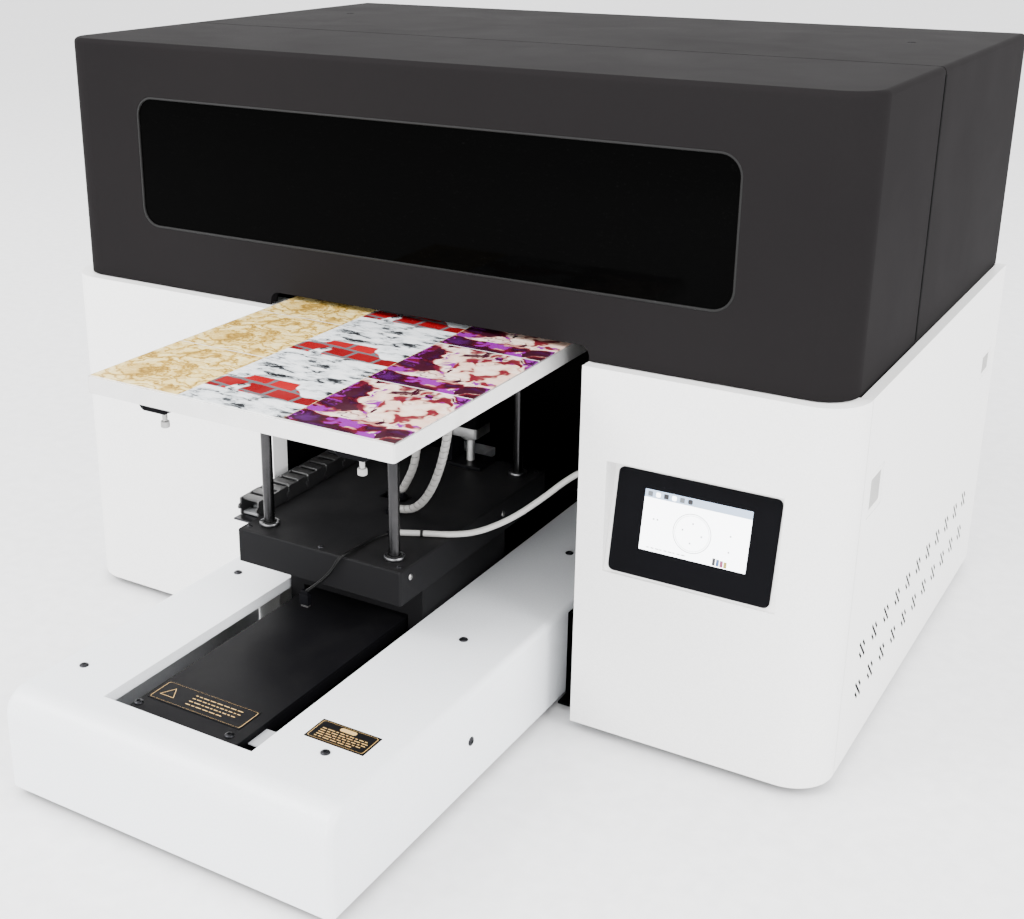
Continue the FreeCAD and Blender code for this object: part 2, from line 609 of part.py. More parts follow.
def build_carriage():
    centre = "axis_centre"
    outer = box("case", (f"{centre} - box_half", f"{centre} + box_half"), ("box_front", "box_back"),
                ("box_base", "box_top"))
    outer = soften("case_round", outer, "2.5", lambda e: along(e, "z") or e.CenterOfMass.z > 199)
    hollow = box("case_hollow", (f"{centre} - box_half + box_wall", f"{centre} + box_half - box_wall"),
                 ("box_front + box_wall", "box_back - box_wall"), ("box_base + 6", "box_top - box_wall"))
    holes = [rod("bush_hole", "Z", (x, y, "box_base - 5"), "bush_radius", "60") for x, y in RODS]
    holes.append(rod("lift_hole", "Z", (*LIFT, "box_base - 5"), "lift_radius + 1", "60"))
    holes.append(box("hose_slot", ("-50", "-16"), ("-92", "-75"), ("box_top - 10", "box_top + 5")))
    case = cut("case_shell", outer, hollow)
    keep("carriage_box", cut("carriage_box", case, *holes))

    outer, inner = "saddle_half", "(saddle_half - saddle_leg)"
    roof = "plate_top + 5"
    outline = [(f"{centre} - {outer}", "saddle_base"), (f"{centre} - {inner}", "saddle_base"),
               (f"{centre} - {inner}", roof), (f"{centre} + {inner}", roof),
               (f"{centre} + {inner}", "saddle_base"), (f"{centre} + {outer}", "saddle_base"),
               (f"{centre} + {outer}", "box_base"), (f"{centre} - {outer}", "box_base")]
    saddle = prism("carriage_saddle", "XZ", outline, "-saddle_back", "saddle_back - saddle_front")
    keep("carriage_saddle", saddle)

    blocks = []
    for sign in ("-", "+"):
        middle = f"{centre} {sign} rail_offset"
        for y in ("saddle_front + 10", "saddle_back - 50"):
            block = box("block", (f"{middle} - 17", f"{middle} + 17"), (y, f"{y} + 40"),
                        ("saddle_base - 25", "saddle_base"))
            channel = box("channel", (f"{middle} - rail_size / 2 - 0.3", f"{middle} + rail_size / 2 + 0.3"),
                          (f"{y} - 5", f"{y} + 45"), ("saddle_base - 30", "saddle_base - 14.5"))
            blocks.append(cut("bearing", block, channel))
    keep("bearing_blocks", group("bearing_blocks", *blocks))

    yoke = box("yoke", (f"{centre} - {inner}", f"{centre} + {inner}"), ("-100", "-70"), ("48", "92"))
    nut = rod("nut", "Y", (centre, "-118", "spindle_height"), "18", "19")
    bore = rod("nut_bore", "Y", (centre, "-125", "spindle_height"), "spindle_radius + running_gap", "70")
    keep("ball_nut", cut("ball_nut", join("nut_body", yoke, nut), bore))

    bushes = []
    for x, y in RODS:
        sleeve = rod("sleeve", "Z", (x, y, "box_base"), "bush_radius", "box_top - box_base")
        flange = rod("flange", "Z", (x, y, "box_top"), "flange_radius", "flange_height")
        bore = rod("bush_bore", "Z", (x, y, "box_base - 5"), "rod_radius + running_gap", "60")
        bushes.append(cut("bush", join("bush_body", sleeve, flange), bore))
    keep("rod_bushes", group("rod_bushes", *bushes))


def build_lift():
    x, y = STEPPER
    half = "stepper_size / 2"

    def slab(name, grow, low, high):
        return box(name, (f"{x} - {half} - ({grow})", f"{x} + {half} + {grow}"),
                   (f"{y} - {half} - ({grow})", f"{y} + {half} + {grow}"), (low, high))

    base, top = "stepper_base", "stepper_base + stepper_height"
    caps = [slab("cap", "0", base, f"{base} + 12"), slab("core", "-1.5", f"{base} + 12", f"{top} - 12"),
            slab("cap", "0", f"{top} - 12", top)]
    boss = rod("boss", "Z", (x, y, f"{base} - 6"), "11", "7")
    foot = box("foot", (f"{x} - 24", f"{x} + 24"), (f"{y} - 20", f"{y} + 20"), ("box_top", "box_top + 4"))
    arm = box("arm", (f"{x} - 24", f"{x} - {half}"), (f"{y} - 14", f"{y} + 14"), ("box_top", top))
    hole = rod("shaft_hole", "Z", (x, y, "box_top - 10"), "5", "box_wall + 20")
    keep("lift_motor", cut("lift_motor", join("lift_motor_body", *caps, boss, foot, arm), hole))
    shaft_hole = rod("motor_hole", "Z", (x, y, "box_top - 10"), "6", "20")
    keep("carriage_box", cut("carriage_case", NODES["carriage_box"], shaft_hole))
    pulley = rod("drive_pulley", "Z", (x, y, "box_base + 10"), "9", "18")
    spindle = rod("drive_shaft", "Z", (x, y, "box_base + 10"), "4.9", "stepper_base - box_base - 16.5")
    keep("lift_pulley", join("lift_pulley", pulley, spindle))

    nut = rod("lift_nut_body", "Z", (*LIFT, "box_base + 10"), "16", "18")
    bore = rod("lift_nut_bore", "Z", (*LIFT, "box_base"), "lift_radius + running_gap", "40")
    keep("lift_nut", cut("lift_nut", nut, bore))
    screw = rod("screw", "Z", (*LIFT, "rod_base"), "lift_radius", "bed_base - rod_base")
    collar = rod("screw_collar", "Z", (*LIFT, "bed_base - 6"), "11", "6")
    keep("lift_screw", join("lift_screw", screw, collar))
    rods = []
    for rod_x, rod_y in RODS:
        bar = rod("bar", "Z", (rod_x, rod_y, "rod_base"), "rod_radius", "bed_base - rod_base")
        ring = rod("ring", "Z", (rod_x, rod_y, "bed_base - 8"), "12", "8")
        rods.append(join("guide_rod", bar, ring))
    keep("guide_rods", group("guide_rods", *rods))


# ---------------------------------------------------------------- bed

LEVEL_SPOTS = [("level_left", "level_front"), ("level_right", "level_front"),
               ("level_left", "level_back"), ("level_right", "level_back")]


def build_bed():
    surface = "bed_base + bed_gauge"
    plate = box("bed", ("bed_left", "bed_right"), ("bed_front", "bed_back"), ("bed_base", surface))
    keep("table_plate", soften("table_plate", plate, "3", lambda e: along(e, "z")))
    keep("sample_sheet", box("sample_sheet", ("bed_left + 2", "bed_right - 2"),
                             ("bed_front + 2", "bed_back - 2"), (surface, f"{surface} + media_gauge")))
    brackets = []
    for number, (x, y) in enumerate(LEVEL_SPOTS, start=1):
        base, top = "bed_base - pad_drop", "bed_base"
        outline = [(f"{x} - 26", top), (f"{x} - 24.5", f"{base} + 5"), (f"{x} - 19", base),
                   (f"{x} + 7", base), (f"{x} + 13", f"{base} + 6"), (f"{x} + 13", top)]
        pad = prism("pad", "XZ", outline, f"-({y} + 9)", "18")
        hole = rod("pad_hole", "Z", (x, y, f"{base} - 10"), "stud_radius + running_gap", "pad_drop + 5")
        brackets.append(cut("level_bracket", pad, hole))
        stud = rod("stud", "Z", (x, y, f"{base} - 10"), "stud_radius", "22")
        knob = rod("knob", "Z", (x, y, f"{base} - 16"), "knob_radius", "7")
        keep(f"thumb_screw_{number}", join(f"thumb_screw_{number}", stud, knob))
    keep("level_brackets", group("level_brackets", *brackets))


# ---------------------------------------------------------------- head axis

def build_head_axis():
    beam = box("beam", ("-gantry_half", "gantry_half"), ("gantry_front", "gantry_back"),
               ("gantry_base", "gantry_top"))
    rail = box("head_rail", ("-gantry_half + 10", "gantry_half - 10"), ("gantry_front - 15", "gantry_front"),
               ("gantry_base + 32", "gantry_base + 47"))
    legs = [box("gantry_leg", (low, f"{low} + 50"), ("gantry_front", "gantry_back"), ("11", "gantry_base"))
            for low in ("-430", "380")]
    keep("gantry", group("gantry", beam, rail, *legs))

    motor = box("x_motor", ("-436", "-394"), ("gantry_front + 2", "gantry_front + 50"),
                ("gantry_top", "gantry_top + 42"))
    keep("x_motor", motor)
    wheel = rod("wheel", "Y", ("-415", "gantry_front - 14", "gantry_top + 21"), "10", "12")
    shaft = rod("wheel_shaft", "Y", ("-415", "gantry_front - 3", "gantry_top + 21"), "2.5", "4.5")
    keep("x_pulley", join("x_pulley", wheel, shaft))

    middle, half = "head_home", "head_half"
    block = box("truck", (f"{middle} - 30", f"{middle} + 30"), ("gantry_front - 28", "gantry_front - 1"),
                ("gantry_base + 22", "gantry_base + 57"))
    channel = box("truck_channel", (f"{middle} - 40", f"{middle} + 40"),
                  ("gantry_front - 15.3", "gantry_front + 5"), ("gantry_base + 31.7", "gantry_base + 47.3"))
    back = box("head_back", (f"{middle} - {half}", f"{middle} + {half}"),
               ("gantry_front - 36", "gantry_front - 28"), ("head_base + 6", "gantry_top + 20"))
    shelf = box("shelf", (f"{middle} - {half}", f"{middle} + {half}"), ("head_front", "gantry_front - 28"),
                ("head_base + 46", "head_base + 52"))
    case = box("ink_case", (f"{middle} - {half}", f"{middle} + {half}"), ("head_front", "gantry_front - 36"),
               ("head_base + 52", "gantry_top + 10"))
    keep("head_carriage", cut("head_carriage", join("head_body", block, back, shelf, case), channel))
    heads = [box("print_head", (f"{middle} + {x}", f"{middle} + {x + 60}"), ("-12", "28"),
                 ("head_base", "head_base + 46")) for x in (-70, 10)]
    keep("print_heads", group("print_heads", *heads))
    lamps = [box("uv_lamp", (low, f"{low} + 35"), ("-10", "32"), ("head_base + 4", "head_base + 80"))
             for low in (f"{middle} - {half} - 35", f"{middle} + {half}")]
    keep("uv_lamps", group("uv_lamps", *lamps))

    station = box("station", ("bay_right + 34.5", "hood_half - 32.5"), ("-20", "40"),
                  ("385", "head_base - 3"))
    cups = [box("cup", (f"{middle} + {x}", f"{middle} + {x + 50}"), ("-8", "24"),
                ("head_base - 13", "head_base")) for x in (-65, 15)]
    keep("capping_station", cut("capping_station", station, *cups))


# ---------------------------------------------------------------- equipment in the pods

def build_ink_tanks():
    """Six ink bottles on a shelf between the bars of the left pod."""
    top = "shelf_base + shelf_gauge"
    neck = f"{top} + bottle_height"
    rack = [box("ink_shelf", ("-437.5", "-246.5"), ("-65", "60"), ("shelf_base", top))]
    for column in range(3):
        for line in range(2):
            x, y = -402 + 60 * column, -33 + 58 * line
            rack.append(box("bottle", (f"{x} - bottle_half", f"{x} + bottle_half"),
                            (f"{y} - bottle_half", f"{y} + bottle_half"), (top, neck)))
            rack.append(rod("bottle_cap", "Z", (x, y, neck), "bottle_half / 2 + 0.5", "16"))
    keep("ink_tanks", group("ink_tanks", join("ink_tank_rack", *rack)))


def build_electronics():
    keep("power_supply", box("power_supply", ("300", "415"), ("150", "365"), ("11", "61")))
    face = "board_base + sheet_gauge"
    board = [box("board", ("-400", "-260"), ("200", "400"), ("board_base", face))]
    for x in (-394, -266):
        for y in (206, 394):
            board.append(rod("standoff", "Z", (x, y, "11"), "4", "9.5"))
    for x, y, wide, deep, high in ((-385, 225, 45, 60, 14), (-325, 230, 40, 40, 6), (-380, 320, 90, 50, 20)):
        board.append(box("component", (x, x + wide), (y, y + deep), (face, f"{face} + {high}")))
    keep("control_board", join("control_board", *board))


def build_power_inlet():
    left, right = "inlet_left", "inlet_right"
    flange = box("inlet_flange", (left, right), ("body_back", "body_back + sheet_gauge"),
                 ("inlet_base", "inlet_top"))
    case = box("inlet_case", (f"{left} + 3", f"{right} - 3"), ("body_back - 24", "body_back"),
               ("inlet_base + 3", "inlet_top - 3"))
    socket = box("socket", (f"{left} + 12", f"{right} - 12"), ("body_back - 18", "body_back + 5"),
                 ("inlet_base + 10", "inlet_base + 34"))
    recess = box("switch_recess", (f"{left} + 14", f"{right} - 14"), ("body_back - 14", "body_back + 5"),
                 ("switch_height - 11", "switch_height + 11"))
    keep("power_inlet", cut("power_inlet", join("inlet_body", flange, case), socket, recess))
    rocker = doc.addObject("Part::Box", "rocker")
    rocker.Length, rocker.Width, rocker.Height = 21, 8, 17
    tilt = FreeCAD.Rotation(FreeCAD.Vector(1, 0, 0), -7)
    centre = FreeCAD.Vector(size(f"({left} + {right}) / 2"), size("body_back - 7"), size("switch_height"))
    rocker.Placement = FreeCAD.Placement(centre + tilt.multVec(FreeCAD.Vector(-10.5, -4, -8.5)), tilt)
    pivot = rod("pivot", "X", (f"{left} + 14.2", "body_back - 7", "switch_height"), "2", "21.6")
    keep("power_switch", join("power_switch", rocker, pivot))


# ---------------------------------------------------------------- chain, cable, wire and hoses

def build_drag_chain():
    outer = "(chain_top - tray_top) / 2"
    middle_z = f"tray_top + {outer}"
    wide = ("chain_left", "chain_right")
    upper = box("upper_run", wide, ("chain_front", "chain_bend"), ("chain_top - chain_link", "chain_top"))
    lower = box("lower_run", wide, ("chain_fixed", "chain_bend"), ("tray_top", "tray_top + chain_link"))
    ring = rod("bend", "X", ("chain_left", "chain_bend", middle_z), outer, "chain_right - chain_left")
    eye = rod("bend_eye", "X", ("chain_left - 1", "chain_bend", middle_z), f"{outer} - chain_link",
              "chain_right - chain_left + 2")
    front = box("bend_front", ("chain_left - 1", "chain_right + 1"), ("chain_bend - 60", "chain_bend"),
                ("tray_top - 1", "chain_top + 1"))
    keep("drag_chain", join("drag_chain", upper, lower, cut("half_ring", ring, eye, front)))


def build_cables():
    rest = size("box_top + cable_radius + 0.3")
    gland = [size(text) for text in GLAND]
    keep("signal_cable", tube("signal_cable", [
        (size("bay_right"), *gland), (201, *gland), (182, -88, 269), (159, -98, 246), (131, -113, 222),
        (100, -131, 206), (74, -146, rest), (49, -157, rest), (26, -169, rest)], "cable_radius"))
    wire = tube("wire", [
        (24, -170, rest), (13, -175, rest - 1.8), (8, -202, rest - 1.8), (9, -226, rest - 1), (6, -247, rest),
        (-3, -249, 186), (-19, -248, 168), (-38, -247.5, 151.5)], "wire_radius")
    plug = box("wire_plug", ("-46", "-35"), ("-251", "-243.5"), ("136", "152"))
    keep("sensor_wire", join("sensor_wire", wire, plug))


def build_hoses():
    under = size("bed_base") - 1.1
    right = tube("right_hose", [
        (-12, -122, 206), (10, -125, 208), (32, -131, 224), (52, -140, 252), (70, -152, 288),
        (86, -168, 325), (100, -184, 362), (106, -190, under)], "hose_radius")
    left = tube("left_hose", [
        (-27, -83, 206), (-14, -87, 226), (0, -94, 252), (6, -98, 286), (2, -98, 320), (-6, -96, 360),
        (-10, -95, under)], "hose_radius")
    keep("table_hoses", group("table_hoses", right, left))


def check_and_write():
    doc.recompute()
    for item in doc.Objects:
        if "Invalid" in item.State or "Error" in item.State:
            raise RuntimeError(f"{item.Label} ({item.Name}) failed: {item.State}")
    for node, item in NODES.items():
        if item.Shape.isNull() or not item.Shape.isValid() or not item.Shape.Solids:
            raise RuntimeError(f"{node} has no valid shape")
    os.makedirs("parts", exist_ok=True)
    for node, item in NODES.items():
        item.Shape.exportStep(f"parts/{node}.step")
    print(len(NODES), "parts written")


build_feet()
build_base_pan()
build_tray()
build_screws()
build_front_covers()
build_operator_panel()
build_side_panels()
build_rear_panel()
build_bay_liners()
build_side_frames()
build_hood_front()
build_hood_rear()
build_hinges()
build_travel_axis()
build_carriage()
build_lift()
build_bed()
build_head_axis()
build_ink_tanks()
build_electronics()
build_power_inlet()
build_drag_chain()
build_cables()
build_hoses()
check_and_write()
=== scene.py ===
"""Looks for the flatbed UV printer: materials, detailed pieces, light and camera.

The scene is in metres, +Z up and -Y the front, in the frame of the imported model. Mesh code is in
millimetres, like the CAD source, and Shape.finish turns it into metres.
"""

import math

import bmesh
import bpy
from mathutils import Matrix, Vector


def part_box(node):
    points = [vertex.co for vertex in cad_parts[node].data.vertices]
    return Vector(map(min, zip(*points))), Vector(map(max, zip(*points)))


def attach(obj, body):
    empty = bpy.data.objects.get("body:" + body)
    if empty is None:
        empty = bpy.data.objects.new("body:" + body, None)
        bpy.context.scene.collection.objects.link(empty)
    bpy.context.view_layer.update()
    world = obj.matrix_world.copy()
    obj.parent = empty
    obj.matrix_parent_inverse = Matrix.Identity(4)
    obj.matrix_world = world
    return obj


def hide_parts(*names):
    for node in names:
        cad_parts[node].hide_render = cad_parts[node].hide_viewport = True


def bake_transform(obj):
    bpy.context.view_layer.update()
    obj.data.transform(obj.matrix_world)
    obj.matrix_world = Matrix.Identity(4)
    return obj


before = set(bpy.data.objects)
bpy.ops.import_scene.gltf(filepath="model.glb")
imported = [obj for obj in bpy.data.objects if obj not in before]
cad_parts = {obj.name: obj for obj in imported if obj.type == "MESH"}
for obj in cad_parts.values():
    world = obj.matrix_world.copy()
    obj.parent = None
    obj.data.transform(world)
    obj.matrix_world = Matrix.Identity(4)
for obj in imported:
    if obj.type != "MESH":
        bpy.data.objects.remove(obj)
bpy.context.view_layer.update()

MM = 0.001

# ---------- node helpers


def start_material(name):
    """A new node material: its tree, its shader and the object coordinates in metres."""
    material = bpy.data.materials.new(name)
    material.use_nodes = True
    tree = material.node_tree
    place = tree.nodes.new("ShaderNodeTexCoord").outputs["Object"]
    return material, tree, tree.nodes["Principled BSDF"], place


def fill(tree, node, inputs):
    """Sets a node's inputs by name or number: a socket is linked, anything else is a value."""
    for key, value in inputs.items():
        socket = node.inputs[key]
        if isinstance(value, bpy.types.NodeSocket):
            tree.links.new(value, socket)
        else:
            socket.default_value = value
    return node


def stretch(tree, place, scale, rotation=(0, 0, 0)):
    node = tree.nodes.new("ShaderNodeMapping")
    fill(tree, node, {"Vector": place, "Scale": scale, "Rotation": rotation})
    return node.outputs["Vector"]


def noise(tree, place, scale, detail=3.0, roughness=0.55, distortion=0.0):
    node = tree.nodes.new("ShaderNodeTexNoise")
    fill(tree, node, {"Vector": place, "Scale": scale, "Detail": detail,
                      "Roughness": roughness, "Distortion": distortion})
    return node.outputs["Fac"]


def ramp(tree, factor, stops):
    """A colour ramp; each stop is (position, grey or colour)."""
    node = tree.nodes.new("ShaderNodeValToRGB")
    tree.links.new(factor, node.inputs["Fac"])
    elements = node.color_ramp.elements
    while len(elements) < len(stops):
        elements.new(0.5)
    for element, (position, colour) in zip(elements, stops):
        element.position = position
        element.color = (*colour, 1) if isinstance(colour, tuple) else (colour, colour, colour, 1)
    return node.outputs["Color"]


def blend_colours(tree, factor, first, second, mode="MIX"):
    node = tree.nodes.new("ShaderNodeMixRGB")
    node.blend_type = mode
    first, second = ((*c, 1) if isinstance(c, tuple) else c for c in (first, second))
    fill(tree, node, {"Fac": factor, "Color1": first, "Color2": second})
    return node.outputs["Color"]


def calculate(tree, operation, first, second=0.0, clamp=False):
    node = tree.nodes.new("ShaderNodeMath")
    node.operation = operation
    node.use_clamp = clamp
    fill(tree, node, {0: first, 1: second})
    return node.outputs[0]


def times(tree, first, second, clamp=False):
    return calculate(tree, "MULTIPLY", first, second, clamp)


def axis(tree, name, vector=None):
    """A coordinate of a vector, or else of the surface's normal."""
    vector = vector or tree.nodes.new("ShaderNodeNewGeometry").outputs["Normal"]
    return fill(tree, tree.nodes.new("ShaderNodeSeparateXYZ"), {0: vector}).outputs[name]


def between(tree, value, low, high, soft=0.0005):
    """One where value lies between two limits, with a soft edge."""
    rise = calculate(tree, "DIVIDE", calculate(tree, "SUBTRACT", value, low), soft, True)
    fall = calculate(tree, "DIVIDE", calculate(tree, "SUBTRACT", high, value), soft, True)
    return times(tree, rise, fall)


def relief(tree, shader, height, strength, distance, edge=0.0):
    """Bump from a height, over edges that are softened by a small bevel."""
    bump = tree.nodes.new("ShaderNodeBump")
    fill(tree, bump, {"Height": height, "Strength": strength, "Distance": distance})
    if edge:
        bevel = tree.nodes.new("ShaderNodeBevel")
        bevel.samples = 4
        bevel.inputs["Radius"].default_value = edge
        tree.links.new(bevel.outputs["Normal"], bump.inputs["Normal"])
    tree.links.new(bump.outputs["Normal"], shader.inputs["Normal"])


def dust(tree, place, colour, amount, tint=(0.30, 0.29, 0.27)):
    """Dust that settles in patches on what faces up."""
    upward = calculate(tree, "GREATER_THAN", axis(tree, "Z"), 0.7)
    patches = ramp(tree, noise(tree, place, 14, 6, 0.7, 0.6), [(0.42, 0.0), (0.72, 1.0)])
    specks = ramp(tree, noise(tree, place, 420, 2), [(0.60, 0.0), (0.70, 1.0)])
    cover = calculate(tree, "ADD", times(tree, patches, 0.75), times(tree, specks, 0.5))
    return blend_colours(tree, times(tree, times(tree, cover, amount, True), upward), colour, tint)


def coated(name, light, dark, rough, grain=900, depth=0.06, edge=0.0006, dusty=0.0, shine=0.5, spread=0.03):
    """Paint, powder coat or moulded plastic: clouded colour, fine grain and uneven gloss."""
    material, tree, shader, place = start_material(name)
    clouds = noise(tree, place, 3, 4, 0.55, 0.3)
    colour = blend_colours(tree, ramp(tree, clouds, [(0.25, 0.0), (0.75, 1.0)]), dark, light)
    specks = ramp(tree, noise(tree, place, grain * 0.8, 2), [(0.35, 0.94), (0.65, 1.0)])
    colour = blend_colours(tree, 1.0, colour, specks, "MULTIPLY")
    if dusty:
        colour = dust(tree, place, colour, dusty)
    gloss = ramp(tree, noise(tree, place, 9, 4, 0.6, 0.5), [(0.25, rough - spread), (0.75, rough + spread)])
    fill(tree, shader, {"Base Color": colour, "Roughness": gloss, "Specular IOR Level": shine})
    relief(tree, shader, noise(tree, place, grain, 2, 0.5), depth, 0.3 * MM, edge)
    return material


def metal(name, light, dark, rough, along=(1, 1, 1), grain=900, depth=0.05, edge=0.0004):
    """Machined or drawn metal: grain stretched along the tool's way, stains and uneven gloss."""
    material, tree, shader, place = start_material(name)
    lines = noise(tree, stretch(tree, place, along), grain, 3, 0.6)
    stains = noise(tree, place, 18, 5, 0.65, 0.5)
    colour = blend_colours(tree, ramp(tree, stains, [(0.3, 0.0), (0.7, 1.0)]), dark, light)
    colour = blend_colours(tree, 1.0, colour, ramp(tree, lines, [(0.3, 0.86), (0.7, 1.0)]), "MULTIPLY")
    gloss = ramp(tree, lines, [(0.25, rough - 0.06), (0.75, rough + 0.08)])
    fill(tree, shader, {"Base Color": colour, "Roughness": gloss, "Metallic": 1.0})
    relief(tree, shader, lines, depth, 0.2 * MM, edge)
    return material


def shade_inside_face(material):
    """Painted shade: near-black colour on the side of a sheet that looks forward, into the bay, where shade
    falls.
    """
    tree = material.node_tree
    shader = tree.nodes["Principled BSDF"]
    paint = shader.inputs["Base Color"].links[0].from_socket
    # painted shade: faces that look forward turn near black
    shade_mask = calculate(tree, "LESS_THAN", axis(tree, "Y"), -0.5)
    fill(tree, shader, {"Base Color": blend_colours(tree, shade_mask, paint, (0.002, 0.002, 0.002))})
    return material


def lit(name, colour, power):
    """A lit part of the screen, with a faint pixel grid."""
    material, tree, shader, place = start_material(name)
    grid = noise(tree, place, 2200, 1)
    shade = blend_colours(tree, 1.0, colour, ramp(tree, grid, [(0.3, 0.93), (0.7, 1.0)]), "MULTIPLY")
    fill(tree, shader, {"Base Color": (0.01, 0.01, 0.012, 1), "Roughness": 0.12,
                        "Emission Color": shade, "Emission Strength": power})
    return material


def window_acrylic():
    """Dark acrylic: glossy, with faint wiping marks and a few specks of dust."""
    material, tree, shader, place = start_material("tinted_acrylic")
    wipes = noise(tree, stretch(tree, place, (1, 1, 3.5), (0, 0.5, 0)), 16, 6, 0.7, 1.2)
    specks = ramp(tree, noise(tree, place, 700, 1), [(0.72, 0.0), (0.78, 1.0)])
    cover = times(tree, specks, 0.15)
    colour = blend_colours(tree, cover, (0.0006, 0.0006, 0.0006), (0.02, 0.02, 0.02))
    gloss = ramp(tree, wipes, [(0.35, 0.03), (0.75, 0.075)])
    fill(tree, shader, {"Base Color": colour, "Roughness": gloss, "IOR": 1.49, "Specular IOR Level": 0.008})
    relief(tree, shader, noise(tree, place, 3.5, 1), 0.02, 2 * MM)
    return material


def bend_place(tree, spot, scale, reach):
    """Coordinates pushed about by a noise, which turns straight patterns into flowing ones."""
    warp = tree.nodes.new("ShaderNodeTexNoise")
    fill(tree, warp, {"Vector": spot, "Scale": scale, "Detail": 4, "Roughness": 0.6})
    bent = tree.nodes.new("ShaderNodeVectorMath")
    bent.operation = "MULTIPLY_ADD"
    return fill(tree, bent, {0: warp.outputs["Color"], 1: (reach, reach, 0.0), 2: spot}).outputs[0]


def gold_leaf(tree, spot):
    """Crumpled gold leaf: bent cracks in ochre over pale gold."""
    cells = tree.nodes.new("ShaderNodeTexVoronoi")
    cells.feature = "DISTANCE_TO_EDGE"
    bent = bend_place(tree, spot, 22, 0.10)
    fill(tree, cells, {"Vector": stretch(tree, bent, (1, 1.9, 1), (0, 0, 0.6)), "Scale": 34})
    crackle = ramp(tree, cells.outputs["Distance"],
                   [(0.0, (0.22, 0.12, 0.018)), (0.05, (0.48, 0.30, 0.06)), (0.13, (0.78, 0.58, 0.20)),
                    (0.30, (0.86, 0.70, 0.34)), (1.0, (0.92, 0.80, 0.48))])
    folds = ramp(tree, noise(tree, bent, 62, 5, 0.8), [(0.50, 0.0), (0.60, 0.75)])
    return blend_colours(tree, folds, crackle, (0.50, 0.31, 0.06))


def brick_sketch(tree, spot, down):
    """Broken red blocks in a band across a grey line sketch."""
    bricks = tree.nodes.new("ShaderNodeTexBrick")
    turned = stretch(tree, bend_place(tree, spot, 30, 0.008), (1, 1, 1), (0, 0, 0.10))
    fill(tree, bricks, {"Vector": turned, "Scale": 16, "Mortar Size": 0.035,
                        "Color1": (0.34, 0.004, 0.008, 1), "Color2": (0.13, 0.002, 0.004, 1),
                        "Mortar": (0.10, 0.10, 0.11, 1), "Brick Width": 0.52, "Row Height": 0.36})
    lines = stretch(tree, spot, (1, 2.4, 1), (0, 0, 0.35))
    strokes = noise(tree, bend_place(tree, lines, 20, 0.06), 30, 6, 0.68)
    sketch = ramp(tree, strokes, [(0.40, (0.010, 0.011, 0.013)), (0.43, (0.12, 0.13, 0.14)),
                                  (0.46, (0.45, 0.48, 0.50)), (0.52, (0.72, 0.75, 0.78)),
                                  (0.66, (0.90, 0.91, 0.92))])
    blocks = ramp(tree, noise(tree, stretch(tree, spot, (1, 1.2, 1)), 17, 1, 0.3), [(0.43, 0.0), (0.44, 1.0)])
    lane = between(tree, down, 0.036, 0.082, 0.002)
    return blend_colours(tree, times(tree, blocks, lane), sketch, bricks.outputs["Color"])


def violet_marble(tree, spot):
    """Deep marbling in maroon, violet and cream."""
    bent = bend_place(tree, spot, 8, 0.20)
    swirl = noise(tree, stretch(tree, bent, (1, 1.7, 1), (0, 0, -0.6)), 9, 3, 0.5)
    marble = ramp(tree, swirl, [(0.38, (0.05, 0.004, 0.07)), (0.44, (0.020, 0.001, 0.005)),
                                (0.485, (0.10, 0.004, 0.015)), (0.50, (0.42, 0.17, 0.14)),
                                (0.525, (0.86, 0.70, 0.60)), (0.575, (0.72, 0.46, 0.36)),
                                (0.59, (0.16, 0.012, 0.02)), (0.66, (0.025, 0.001, 0.006))])
    splashes = ramp(tree, noise(tree, bent, 22, 4, 0.65), [(0.54, 0.0), (0.57, 1.0)])
    marble = blend_colours(tree, splashes, marble, (0.19, 0.006, 0.24))
    shadows = ramp(tree, noise(tree, bent, 30, 3, 0.6), [(0.56, 0.0), (0.59, 1.0)])
    return blend_colours(tree, shadows, marble, (0.030, 0.002, 0.010))


def print_sample():
    """The printed sheet: three columns of a repeated test print, each an abstract of its own."""
    material, tree, shader, place = start_material("print_sample")
    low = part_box("sample_sheet")[0]
    tile = 0.128
    columns = (low[0] + 0.107, low[0] + 0.225)
    across = axis(tree, "X", place)
    down = calculate(tree, "SUBTRACT", axis(tree, "Y", place), low[1] - tile)
    down = calculate(tree, "MODULO", down, tile)
    spot = fill(tree, tree.nodes.new("ShaderNodeCombineXYZ"), {"X": across, "Y": down}).outputs[0]

    gold = gold_leaf(tree, spot)
    red = brick_sketch(tree, spot, down)
    violet = violet_marble(tree, spot)
    art = blend_colours(tree, between(tree, across, columns[0], columns[1]), gold, red)
    art = blend_colours(tree, between(tree, across, columns[1], 1.0), art, violet)
    seam = calculate(tree, "SUBTRACT", 1.0, between(tree, down, 0.0008, tile - 0.0008, 0.0004))
    art = blend_colours(tree, times(tree, seam, 0.6), art, (0.9, 0.9, 0.88))
    dots = noise(tree, place, 1600, 1)
    art = blend_colours(tree, 1.0, art, ramp(tree, dots, [(0.3, 0.90), (0.7, 1.0)]), "MULTIPLY")
    gloss = ramp(tree, noise(tree, place, 30, 4), [(0.3, 0.22), (0.7, 0.38)])
    fill(tree, shader, {"Base Color": art, "Roughness": gloss})
    relief(tree, shader, dots, 0.08, 0.1 * MM)
    return material


# ---------- materials

